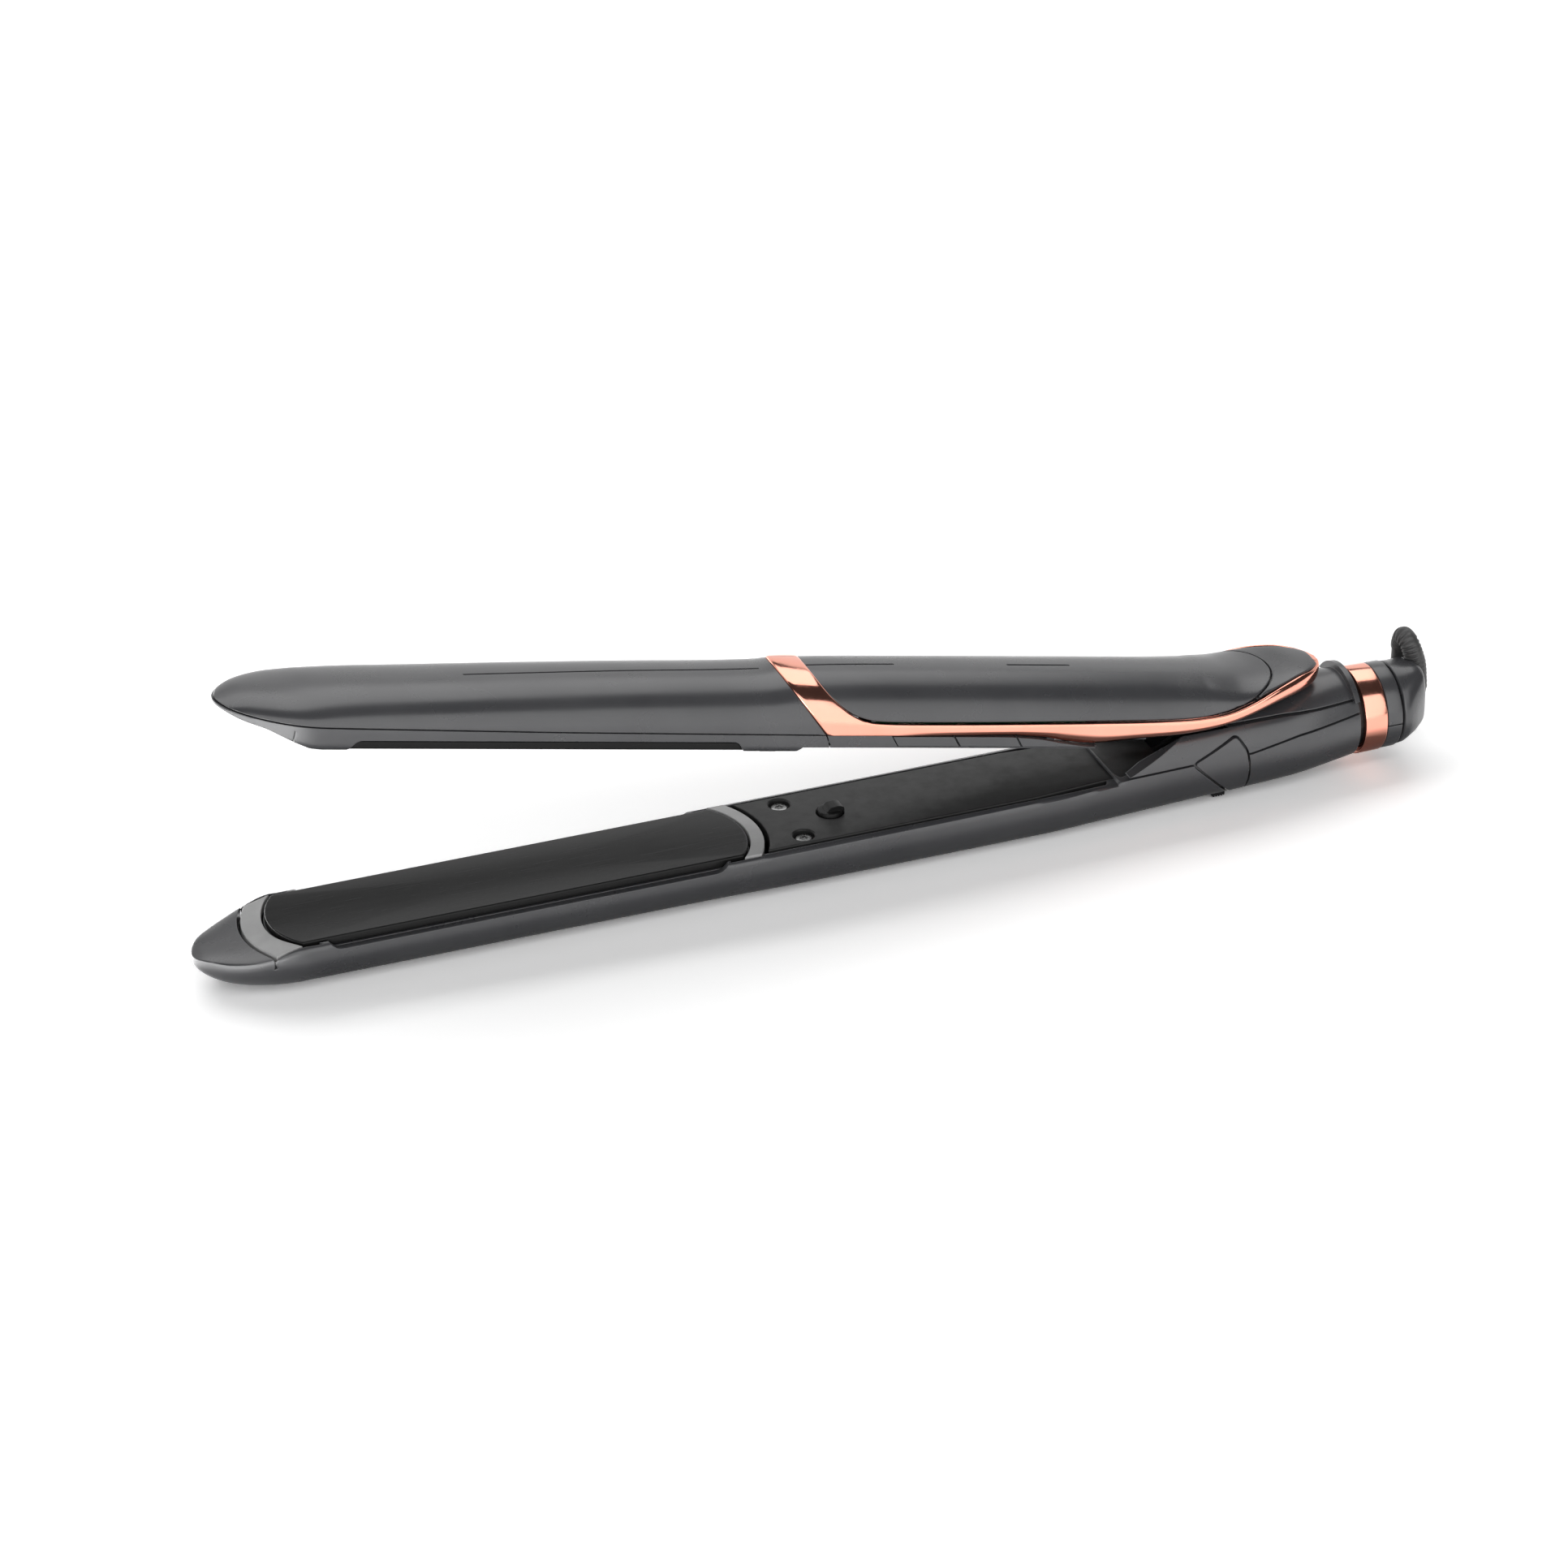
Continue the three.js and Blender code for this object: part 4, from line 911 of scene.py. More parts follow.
def on_hull(points):
    """Points pushed radially onto the upper hull, in the cross-section they lie in."""
    p = np.asarray(points, float).copy()
    s = upper_shape(p[:, 0])
    dz = p[:, 2] - s["waist"]
    reach, power = reach_and_power(s, dz)
    size = (np.abs(p[:, 1] / s["w"]) ** power + np.abs(dz / reach) ** power) ** (1 / power)
    p[:, 1] /= size
    p[:, 2] = s["waist"] + dz / size
    return p


def side_y(x, z):
    """Half-width of the upper hull at a point of the side view."""
    s = upper_shape(x)
    dz = z - s["waist"]
    reach, power = reach_and_power(s, dz)
    return s["w"] * np.clip(1 - np.abs(dz / reach) ** power, 0, 1) ** (1 / power)


def tail_xs(x0, count):
    """Places along a rail: even at first, then closer together round the end of the tail."""
    straight = np.arange(x0, TAIL_START, 2.0)
    turn = TAIL_START + (TAIL_END - TAIL_START) * np.sin(np.linspace(0, 0.9995, count) * math.pi / 2)
    return np.concatenate([straight, turn])


def band_edge(x_of_z):
    """The near half of a band edge, from the middle of the top down the side."""
    points = []
    for y in np.linspace(0, 8.5, 14):
        x, z = 118.0, 16.5
        for _ in range(12):
            s = upper_shape(x)
            z = s["waist"] + (s["top"] - s["waist"]) * (1 - (y / s["w"]) ** s["up"]) ** (1 / s["up"])
            x = float(x_of_z(z))
        points.append((x, -y, float(z)))
    return points


def trim_edge(x_of_z, foot_z, side_steps, rail_start, rail_z):
    """One edge of the near half of the trim: over the top, down the band, along the rail, round the tail."""
    points = band_edge(x_of_z)
    for z in np.linspace(points[-1][2] - 0.5, foot_z, side_steps):
        x = float(x_of_z(z))
        points.append((x, -float(side_y(x, z)), z))
    corner = len(points)
    xs = tail_xs(rail_start(points[-1][0]), 30)
    points += [(x, -float(side_y(x, z)), float(z)) for x, z in zip(xs, rail_z(xs))]
    return np.concatenate([resample(points[:corner], 46), resample(points[corner:], 150)])


def trim_edges():
    """Outer and inner edge of the near half of the trim."""
    front = [(5.3, 126.0), (17.6, 114.6)]
    rear = [(-z, x) for x, z in RAIL_TOP[:6]]

    def beyond(z, end, slope):
        return np.where(np.asarray(z) > end, -slope * (np.asarray(z) - end), 0)

    def front_x(z):
        return np.interp(z, *zip(*front)) + beyond(z, 17.6, 0.93)

    def rear_x(z):
        return smooth(rear, -np.asarray(z)) + beyond(z, 17.4, 0.9)
    outer = trim_edge(front_x, 5.6, 14, lambda x: 126.4, rail_bottom_z)
    inner = trim_edge(rear_x, 8.4, 16, lambda x: max(x + 1.5, 140.0), rail_top_z)
    return outer, inner


def normals_of(grid):
    """Unit normals of a grid of surface points."""
    n = np.cross(np.gradient(grid, axis=0), np.gradient(grid, axis=1))
    return n / np.maximum(np.linalg.norm(n, axis=2, keepdims=True), 1e-9)


def handle_trim():
    """Band, rails and tail loop in one moulding with rounded edges, standing proud of the shells."""
    proud, depth = 0.4, 1.25
    outer, inner = trim_edges()
    outer = np.concatenate([outer, (outer * [1, -1, 1])[-2:0:-1]])
    inner = np.concatenate([inner, (inner * [1, -1, 1])[-2:0:-1]])
    share = np.array([0, 0.012, 0.035, 0.08, 0.15, 0.24, 0.36, 0.5, 0.64, 0.76, 0.85, 0.92, 0.965, 0.988, 1])
    base = np.stack([on_hull(lerp(outer, inner, t)) for t in share], 1)
    looped = np.concatenate([base[-2:], base, base[:2]])
    out = normals_of(looped)[2:-2]
    s = upper_shape(base[:, :, 0])
    outward = np.stack([np.zeros(s["w"].shape), base[:, :, 1], base[:, :, 2] - s["waist"]], 2)
    flipped = np.sum(out * outward, axis=(1, 2)) < 0
    out[flipped] *= -1
    width = np.linalg.norm(inner - outer, axis=1)[:, None]
    edge = np.minimum(share, 1 - share)[None, :] * width
    turn = np.interp(base[:, :, 0], [150, 190], [0.6, 1.5])
    inner_turn = np.interp(base[:, :, 0], [225, 240], [0.5, 0.75])
    radius = np.where(share[None, :] < 0.5, turn, inner_turn)
    k = np.clip(1 - edge / radius, 0, 1)
    rise = proud * np.sqrt(np.clip(1 - k * k, 0, 1)) - 0.12 * (k >= 1)
    crown = 0.18 * np.clip(1 - (2 * share - 1) ** 2, 0, 1)[None, :] * np.clip(6 / width, 0, 1)
    under = np.clip(1 - share / 0.42, 0, 1)[None, :] ** 1.4
    under = under * np.interp(base[:, :, 0], [145, 175, 205, 245, 256], [0.0, 0.8, 1.3, 1.3, 0.4])
    top = base + out * (rise + crown - under)[:, :, None]
    bottom = base - out * depth
    section = np.concatenate([top, bottom[:, ::-1]], 1)
    return solid(section.reshape(-1, 3), bands(len(base), section.shape[1], True))


def panel(rows, depth, lip=0.35):
    """A shell from rows of surface points: rounded rim, even thickness."""
    grid = np.stack(rows)
    out = normals_of(grid)
    if np.sum(out[:, grid.shape[1] // 2, 2]) < 0:
        out = -out
    along = lengths(grid[:, grid.shape[1] // 2])
    across = np.zeros(grid.shape[:2])
    across[:, 1:] = np.cumsum(np.linalg.norm(np.diff(grid, axis=1), axis=2), axis=1)
    edge = np.minimum(across, across[:, -1:] - across)
    edge = np.minimum(edge, np.minimum(along, along[-1] - along)[:, None])
    k = np.clip(1 - edge / lip, 0, 1)
    drop = lip * 0.6 * (1 - np.sqrt(np.clip(1 - k * k, 0, 1)))
    top = grid - out * drop[:, :, None]
    bottom = grid - out * depth
    r, c = grid.shape[:2]
    points = np.concatenate([top.reshape(-1, 3), bottom.reshape(-1, 3)])
    n = r * c
    faces = []
    for i in range(r - 1):
        for j in range(c - 1):
            a = i * c + j
            faces.append((a, a + 1, a + c + 1, a + c))
            faces.append((n + a, n + a + c, n + a + c + 1, n + a + 1))
    rim = [j for j in range(c)] + [i * c + c - 1 for i in range(1, r)]
    rim += [(r - 1) * c + j for j in range(c - 2, -1, -1)] + [i * c for i in range(r - 2, 0, -1)]
    for a, b in zip(rim, rim[1:] + rim[:1]):
        faces.append((a, a + n, b + n, b))
    return solid(points, faces)


def slice_row(x, edge_y, count=44):
    """One row of a handle panel at x, from the near edge over the top to the far edge."""
    fine = np.array([0.0006, 0.003, 0.008, 0.016])
    u = np.linspace(-1, 1, count)
    u = np.sin(u * math.pi / 2) * 0.65 + u * 0.35
    u = np.concatenate([[-1], fine - 1, u[1:-1], 1 - fine[::-1], [1]])
    y = u * edge_y
    return np.stack([np.full(len(y), x), y, handle_crown(x, y)], 1)


def rail_inset(x):
    """How far the covers stay inside the rail's edge: more towards the tail, where the rim's top shows."""
    return 0.12 + 0.35 * ease(np.clip((x - 226) / 16, 0, 1))


def handle_crown(x, y):
    """Height of the handle's top: the hull, then a low crown inside the tail loop."""
    rim = float(rail_top_z(x)) + 0.04
    middle = float(smooth(CROWN, x))
    edge = max(rail_edge_y(x) - 0.6 * float(rail_inset(x)), 0.1)
    low = rim + (middle - rim) * np.sqrt(np.clip(1 - (y / edge) ** 2, 0, 1))
    return lerp(height_of(upper_shape, x, y), low, ease(float(np.clip((x - 224) / 14, 0, 1))))


def rail_edge_y(x):
    """Half-width of the handle at the rail's upper edge."""
    return float(side_y(x, float(rail_top_z(x))))


def handle_cover():
    """The long cover between the rails, with a round end inside the tail loop."""
    reach = GROOVE_RADIUS - 0.2
    front = 123.55 + 22 * np.linspace(0, 1, 26)[1:] ** 1.6
    middle = [np.arange(148, 214, 2.0), np.arange(214, GROOVE_X, 0.6)]
    end = GROOVE_X + reach * np.sin(np.linspace(0.02, 0.995, 26) * math.pi / 2)
    rows = []
    for x in np.concatenate([front, *middle, end]):
        edge = rail_edge_y(x) - float(rail_inset(x))
        if x > GROOVE_X:
            edge = min(edge, math.sqrt(max(reach**2 - (x - GROOVE_X) ** 2, 0.01)))
        rows.append(slice_row(x, edge))
    return cut(panel(rows, 1.5), *[spine_groove(x0, x1) for x0, x1 in ((123, 147), (177, 194))])


def spine_groove(x0, x1):
    """A narrow groove along the middle of the top, with rounded ends."""
    half = 0.32
    a = np.linspace(-math.pi / 2, math.pi / 2, 7)
    outline = [(x1 - half + half * math.cos(t), half * math.sin(t)) for t in a]
    outline += [(x0 + half - half * math.cos(t), -half * math.sin(t)) for t in a]
    floor = [(x, float(smooth(UPPER_TOP, x)) - 0.8) for x in np.linspace(x0 - 1, x1 + 1, 16)]
    return meet(plan_prism(outline, 0, 25), above(floor))


def groove_point(t, r):
    """A point of the plan, from the centre of the cover's round end."""
    return GROOVE_X + r * math.cos(t), r * math.sin(t)


def insert_reach():
    """Half the angle of the C-shaped insert: its ends are where the round groove meets the rails."""
    def inside(t):
        x, y = groove_point(t, GROOVE_RADIUS)
        return y < rail_edge_y(x) - rail_inset(x) - 0.5
    return last_inside(0.5, math.pi / 2, inside, 30)


def handle_end_insert():
    """The C-shaped insert between the round end of the cover and the tail loop."""
    share = np.array([0, 0.01, 0.04, 0.1, 0.2, 0.35, 0.5, 0.65, 0.8, 0.9, 0.96, 0.99, 1])
    rows = []
    for t in np.linspace(-1, 1, 90) * insert_reach():
        inner = np.array(groove_point(t, GROOVE_RADIUS + 0.2))
        line = inner + (tail_edge_point(t) - inner) * share[:, None]
        rows.append(np.array([(x, y, float(handle_crown(x, y))) for x, y in line]))
    return join(panel(rows, 1.5, 0.3), groove_ledge())


def groove_ledge():
    """A step under the round end of the cover, which closes the groove."""
    radii = np.linspace(GROOVE_RADIUS - 1.6, GROOVE_RADIUS + 0.6, 6)
    rows = []
    for t in np.linspace(-0.97, 0.97, 60) * insert_reach():
        row = [groove_point(t, r) for r in radii]
        rows.append(np.array([(x, y, float(handle_crown(x, y)) - 1.6) for x, y in row]))
    return panel(rows, 0.7, 0.1)


def tail_edge_point(t):
    """The inner edge of the tail loop in plan, in the direction t from the groove's centre."""
    def inside(r):
        x, y = groove_point(t, r)
        return x < TAIL_END - 1.3 and abs(y) < rail_edge_y(x) - rail_inset(x)
    return np.array(groove_point(t, last_inside(5.0, 40.0, inside, 40)))


def arm_seam(dz):
    """The seam between the shell and the frame of the upper arm, moved up by dz."""
    return shift(rounded_line(SEAM_LINE, 2.0, 3), dz)


def upper_housing():
    """The shell over the upper plate, from the tip to the band."""
    edge = rounded_line([(112.0, 21.0), (114.45, 17.6), (BAND_FOOT[0] - 0.16, BAND_FOOT[1])], 1.0, 0)
    zone = side_prism([(-40, 20)] + arm_seam(0.16)[:-1] + edge[::-1])
    body = cut(meet(upper_hull(), zone), upper_cavity())
    return cut(body, flip(plate_well(), True), spine_groove(37, 112))


def upper_frame():
    """The frame beside the upper plate, below the seam."""
    end = [(127.4, STRIP_BOTTOM), (120.5, STRIP_BOTTOM), (119, 0.6), (117.6, -1), (100, -5)]
    body = meet(upper_hull(), side_prism([(-40, -5)] + arm_seam(-0.16) + end))
    return cut(body, below(nose_line(UPPER_TIP_Z), -5), upper_cavity(), flip(plate_well(), True),
               flip(rim_cut(UPPER_RIM), True), seam(BAND_FRONT))


def button_blank(start, stop, grow):
    """A slanted block through the side strip, as big as a button plus grow."""
    low, high = STRIP_BOTTOM + 0.5 - grow, BAND_FOOT[1] + 0.4

    def lean(z):
        return BUTTON_SLANT * (BAND_FOOT[1] - z) / (BAND_FOOT[1] - STRIP_BOTTOM)
    inset = 0.25 - grow
    outline = [(start + lean(high) + inset, high), (start + lean(low) + inset, low),
               (stop + lean(low) - inset, low), (stop + lean(high) - inset, high)]
    return side_prism(outline, -SIDE, -12.2 + grow)


def handle_base():
    """The side strips under the rails and the floor between them, with openings for the buttons."""
    top = dense(lambda x: rail_bottom_z(x) - 0.14, 126.2, 197.8)
    zone = side_prism([(127.6, STRIP_BOTTOM)] + top + [(198, STRIP_BOTTOM)])
    walls = cut(meet(upper_hull(), zone), upper_cavity(), seam(BAND_FRONT))
    side = [(128, COVER_HALF), (128, 13.4), (186, 13.4), (188, 9.4), (214, 9.4)]
    body = join(walls, plan_prism(strip_plan(side), STRIP_BOTTOM + 0.1, 3.5))
    cut(body, *[button_blank(start, stop, 0.2) for start, stop in BUTTONS.values()])
    holes = join(*[rod("z", 1.5, 0, 9, at) for at in SCREW_PLACES])
    return cut(body, holes, rod("z", 3.4, 0, 9, (BUMPER_X, 0, 0)))


def push_button(name):
    """A button flush in the side strip, with a stem towards its switch."""
    start, stop = BUTTONS[name]
    top = dense(lambda x: rail_bottom_z(x) - 0.3, 140, 200)
    face = meet(cut(upper_hull(0.25), upper_hull(-1.5)), button_blank(start, stop, 0),
                side_prism(top + [(200, -SIDE), (140, -SIDE)]))
    middle = (start + stop) / 2
    return join(face, block(middle - 1, middle + 1, -13, -12.1, 3.9, 4.7))


def base_screw(at):
    """A pan-headed screw with a hexagon socket, seen from inside the arm."""
    z = STRIP_BOTTOM
    profile = [(z - 0.9, 2.0), (z - 0.8, 2.25), (z - 0.2, 2.3), (z - 0.15, 1.2), (z + 6, 1.2)]
    return cut(skin(turned(profile, "z", at, 48)), rod("z", 1.0, z - 2, z - 0.5, at, 6))


# ---------------------------------------------------------------- shader graphs
def put(tree, socket, value):
    """Sets a shader input, or links it if the value is another node's output."""
    if isinstance(value, bpy.types.NodeSocket):
        tree.links.new(value, socket)
    else:
        socket.default_value = value


def add(tree, kind, inputs=None, **settings):
    made = tree.nodes.new("ShaderNode" + kind)
    for key, value in settings.items():
        setattr(made, key, value)
    for key, value in (inputs or {}).items():
        put(tree, made.inputs[key], value)
    return made


def place_of(tree):
    return add(tree, "TexCoord").outputs["Object"]


def stretched(tree, scale):
    return add(tree, "Mapping", {"Vector": place_of(tree), "Scale": scale}).outputs["Vector"]


def noise(tree, scale, detail=3.0, roughness=0.5, vector=None):
    inputs = {"Vector": vector or place_of(tree), "Scale": scale, "Detail": detail, "Roughness": roughness}
    return add(tree, "TexNoise", inputs).outputs["Fac"]


def remap(tree, value, a, b, low=0.0, high=1.0):
    inputs = {"Value": value, "From Min": a, "From Max": b, "To Min": low, "To Max": high}
    return add(tree, "MapRange", inputs, clamp=True).outputs["Result"]


def maths(tree, operation, a, b=0.0):
    made = add(tree, "Math", operation=operation)
    put(tree, made.inputs[0], a)
    put(tree, made.inputs[1], b)
    return made.outputs[0]


def blend_colour(tree, share, a, b, mode="MIX"):
    made = add(tree, "Mix", data_type="RGBA", blend_type=mode)
    for socket, value in zip((made.inputs[0], made.inputs[6], made.inputs[7]), (share, a, b)):
        put(tree, socket, value)
    return made.outputs[2]


def grey(value):
    return (value, value, value, 1.0)


def edge_wear(tree, soft_normal, low=0.02, high=0.16):
    """How far the rounded normal leans away from the true one: high along edges."""
    true_normal = add(tree, "NewGeometry").outputs["Normal"]
    made = add(tree, "VectorMath", operation="DOT_PRODUCT")
    put(tree, made.inputs[0], soft_normal)
    put(tree, made.inputs[1], true_normal)
    return remap(tree, maths(tree, "SUBTRACT", 1.0, made.outputs["Value"]), low, high)


def soft_edges(tree, radius):
    """A normal that rounds every edge by this radius."""
    return add(tree, "Bevel", {"Radius": radius}, samples=6).outputs["Normal"]


def bumped(tree, height, distance, normal=None):
    """A normal roughened by a height pattern, on top of another normal if there is one."""
    inputs = {"Height": height, "Distance": distance, "Strength": 1.0}
    if normal is not None:
        inputs["Normal"] = normal
    return add(tree, "Bump", inputs).outputs["Normal"]


def new_material(name, metallic=0.0, specular=0.5):
    material = bpy.data.materials.new(name)
    material.use_nodes = True
    shader = material.node_tree.nodes["Principled BSDF"]
    shader.inputs["Metallic"].default_value = metallic
    shader.inputs["Specular IOR Level"].default_value = specular
    return material, material.node_tree


def finish(material, colour, roughness, normal):
    """Links a material's colour, roughness and normal, which are values or outputs of nodes."""
    shader = material.node_tree.nodes["Principled BSDF"]
    for name, value in (("Base Color", colour), ("Roughness", roughness), ("Normal", normal)):
        put(material.node_tree, shader.inputs[name], value)
    return material


def soft_touch_material():
    """Matt lacquered plastic: a fine grain, faint mottling, a few dust specks and paler worn edges."""
    material, tree = new_material("soft_touch", specular=0.75)
    normal = soft_edges(tree, 0.00025)
    mottle = remap(tree, noise(tree, 55, 4, 0.55), 0.3, 0.7)
    colour = blend_colour(tree, mottle, (0.038, 0.0385, 0.042, 1), (0.049, 0.0495, 0.053, 1))
    speck = remap(tree, noise(tree, 2600, 1, 0.5), 0.76, 0.80)
    patch = remap(tree, noise(tree, 130, 2, 0.5), 0.45, 0.62)
    dust = maths(tree, "MULTIPLY", maths(tree, "MULTIPLY", speck, patch), 0.14)
    colour = blend_colour(tree, dust, colour, grey(0.26))
    wear = maths(tree, "MULTIPLY", edge_wear(tree, normal), remap(tree, noise(tree, 420, 3), 0.35, 0.65))
    colour = blend_colour(tree, maths(tree, "MULTIPLY", wear, 0.3), colour, grey(0.22))
    rubbed = remap(tree, noise(tree, 38, 5, 0.6), 0.35, 0.7, 0.25, 0.32)
    normal = bumped(tree, noise(tree, 5200, 2, 0.6), 0.000003, normal)
    return finish(material, colour, rubbed, bumped(tree, noise(tree, 700, 2, 0.5), 0.000003, normal))


def plate_material():
    """Near-black ceramic coating with pale flecks and hairlines along the plate."""
    material, tree = new_material("plate_coating", specular=0.18)
    fleck = remap(tree, noise(tree, 3600, 2, 0.7), 0.66, 0.74)
    colour = blend_colour(tree, maths(tree, "MULTIPLY", fleck, 0.35), grey(0.008), grey(0.07))
    hair = noise(tree, 1, 3, 0.6, stretched(tree, (60, 3200, 3200)))
    normal = bumped(tree, hair, 0.000004, soft_edges(tree, 0.0003))
    return finish(material, colour, remap(tree, hair, 0.3, 0.7, 0.20, 0.28),
                  bumped(tree, noise(tree, 2400, 2), 0.000004, normal))


def insulator_material():
    """Light satin grey plastic with a sparkle-free fine grain."""
    material, tree = new_material("insulator", specular=0.45)
    colour = blend_colour(tree, remap(tree, noise(tree, 160, 4), 0.3, 0.7), grey(0.27), grey(0.33))
    return finish(material, colour, remap(tree, noise(tree, 240, 3), 0.3, 0.7, 0.38, 0.5),
                  bumped(tree, noise(tree, 4200, 2), 0.00001, soft_edges(tree, 0.0002)))


def rose_gold_material():
    """Polished plated metal: smudges, hairline scratches and slightly uneven colour."""
    material, tree = new_material("rose_gold", metallic=1.0)
    tint = remap(tree, noise(tree, 70, 3), 0.3, 0.7)
    colour = blend_colour(tree, tint, (0.86, 0.36, 0.262, 1), (0.90, 0.405, 0.305, 1))
    smudge = remap(tree, noise(tree, 190, 5, 0.65), 0.4, 0.75, 0.10, 0.20)
    hair = noise(tree, 1, 2, 0.6, stretched(tree, (90, 2600, 2600)))
    rough = maths(tree, "ADD", smudge, remap(tree, hair, 0.62, 0.75, 0.0, 0.08))
    return finish(material, colour, rough, bumped(tree, hair, 0.0000025, soft_edges(tree, 0.00015)))


def plastic_material(name, shade, roughness, grain=3000, specular=0.45):
    """Moulded plastic or rubber with a cloudy shade, uneven gloss and a moulded grain."""
    material, tree = new_material(name, specular=specular)
    cloud = remap(tree, noise(tree, 120, 4), 0.3, 0.7)
    colour = blend_colour(tree, cloud, grey(shade * 0.85), grey(shade * 1.2))
    rough = remap(tree, noise(tree, 300, 3), 0.3, 0.7, roughness - 0.06, roughness + 0.08)
    normal = bumped(tree, noise(tree, grain, 3), 0.00001, soft_edges(tree, 0.0002))
    return finish(material, colour, rough, normal)


def steel_material(name, darker, lighter):
    """Steel brushed across, with a mottled shade."""
    material, tree = new_material(name, metallic=1.0)
    brushed = noise(tree, 1, 3, 0.6, stretched(tree, (4000, 500, 4000)))
    colour = blend_colour(tree, remap(tree, noise(tree, 500, 3), 0.3, 0.7), grey(darker), grey(lighter))
    return finish(material, colour, remap(tree, brushed, 0.3, 0.7, 0.22, 0.38),
                  bumped(tree, brushed, 0.000004, soft_edges(tree, 0.00015)))


def ceramic_material():
    """Unglazed ceramic with darker spots and a rough surface."""
    material, tree = new_material("heater_ceramic", specular=0.3)
    spots = maths(tree, "MULTIPLY", remap(tree, noise(tree, 1800, 3), 0.55, 0.7), 0.4)
    colour = blend_colour(tree, spots, (0.66, 0.63, 0.56, 1), (0.4, 0.37, 0.3, 1))
    return finish(material, colour, 0.75, bumped(tree, noise(tree, 1500, 4), 0.00002))


def board_material():
    """Green solder mask with lighter copper tracks under it."""
    material, tree = new_material("board")
    tracks = add(tree, "TexBrick", {"Vector": place_of(tree), "Scale": 260.0, "Mortar Size": 0.06,
                                    "Color1": grey(0), "Color2": grey(0), "Mortar": grey(1)}).outputs["Color"]
    colour = blend_colour(tree, tracks, (0.008, 0.075, 0.03, 1), (0.02, 0.16, 0.06, 1))
    return finish(material, colour, 0.3, bumped(tree, tracks, 0.00003))


MATERIALS = {
    "soft_touch": soft_touch_material(),
    "plate_coating": plate_material(),
    "insulator": insulator_material(),
    "rose_gold": rose_gold_material(),
    # Its dark shade is partly painted shade, which stands in for the shadow on the inner cover near the
    # hinge.
    "inner_plastic": plastic_material("inner_plastic", 0.014, 0.42, specular=0.3),
    "rubber": plastic_material("rubber", 0.045, 0.45, 4500),
    "black_plastic": plastic_material("black_plastic", 0.006, 0.4, specular=0.2),
    "black_steel": steel_material("black_steel", 0.13, 0.3),
    "steel": steel_material("steel", 0.48, 0.6),
    "heater_ceramic": ceramic_material(),
    "board": board_material(),
}


# ---------------------------------------------------------------- the straightener
# Each piece: its CAD node, its material and what builds it.
PLATE_PIECES = [
    ("_plate", "plate_coating", heating_plate),
    ("_front_insulator", "insulator", front_insulator),
    ("_rear_insulator", "insulator", rear_insulator),
]
LOWER_PIECES = [
    ("lower_housing", "soft_touch", lower_housing),
    # The inner cover takes the darker inner plastic: partly its own satin plastic, and partly painted shade
    # for the shadow of the upper arm near the hinge.
    ("lower_inner_cover", "inner_plastic", inner_cover),
    ("cover_screw_near", "black_steel", lambda: cover_screw(SCREW_PLACES[0])),
    ("cover_screw_far", "black_steel", lambda: cover_screw(SCREW_PLACES[1])),
    ("closing_bumper", "black_plastic", closing_bumper),
    ("hub_frame", "soft_touch", hub_frame),
    ("hub_top_cover", "soft_touch", hub_top_cover),
    ("hinge_saddle", "soft_touch", hinge_saddle),
    ("lock_slider", "black_plastic", lock_slider),
    ("trim_ring", "rose_gold", trim_ring),
    ("end_cap_upper", "soft_touch", lambda: end_cap(True)),
    ("end_cap_lower", "soft_touch", lambda: end_cap(False)),
    ("swivel_cap", "soft_touch", swivel_cap),
    ("strain_relief", "rubber", strain_relief),
    ("cord", "rubber", cord),
]
UPPER_PIECES = [
    ("upper_housing", "soft_touch", upper_housing),
    ("upper_frame", "soft_touch", upper_frame),
    ("handle_trim", "rose_gold", handle_trim),
    ("handle_cover", "soft_touch", handle_cover),
    ("handle_end_insert", "soft_touch", handle_end_insert),
    ("handle_base", "soft_touch", handle_base),
    ("mode_button_front", "soft_touch", lambda: push_button("mode_button_front")),
    ("mode_button_rear", "soft_touch", lambda: push_button("mode_button_rear")),
    ("power_button", "soft_touch", lambda: push_button("power_button")),
    ("base_screw_near", "black_steel", lambda: base_screw(SCREW_PLACES[0])),
    ("base_screw_far", "black_steel", lambda: base_screw(SCREW_PLACES[1])),
]
# Edges sharper than this many degrees stay crisp.
SHARP_ANGLE = 34
SHARP_ANGLES = {"strain_relief": 60, "handle_trim": 45}


def place_piece(obj, node, look, upper):
    """Moves a solid into the row frame, and says which CAD node it stands for and what it rides on."""
    mesh = obj.data
    co = np.zeros(len(mesh.vertices) * 3)
    mesh.vertices.foreach_get("co", co)
    mesh.vertices.foreach_set("co", to_row(co.reshape(-1, 3), upper).ravel())
    mesh.update()
    mesh.shade_smooth()
    mesh.set_sharp_from_angle(angle=math.radians(SHARP_ANGLES.get(node, SHARP_ANGLE)))
    obj.name = mesh.name = node + "_form"
    workbench.objects.unlink(obj)
    bpy.context.scene.collection.objects.link(obj)
    mesh.materials.clear()
    mesh.materials.append(MATERIALS[look])
    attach(obj, frame["nodes"][node]["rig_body"])
    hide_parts(node)


def build_plates():
    for side, upper in (("lower", False), ("upper", True)):
        for part, look, build in PLATE_PIECES:
            place_piece(flip(build(), upper), side + part, look, upper)


def build_arms():
    for pieces, upper in ((LOWER_PIECES, False), (UPPER_PIECES, True)):
        for node, look, build in pieces:
            place_piece(build(), node, look, upper)


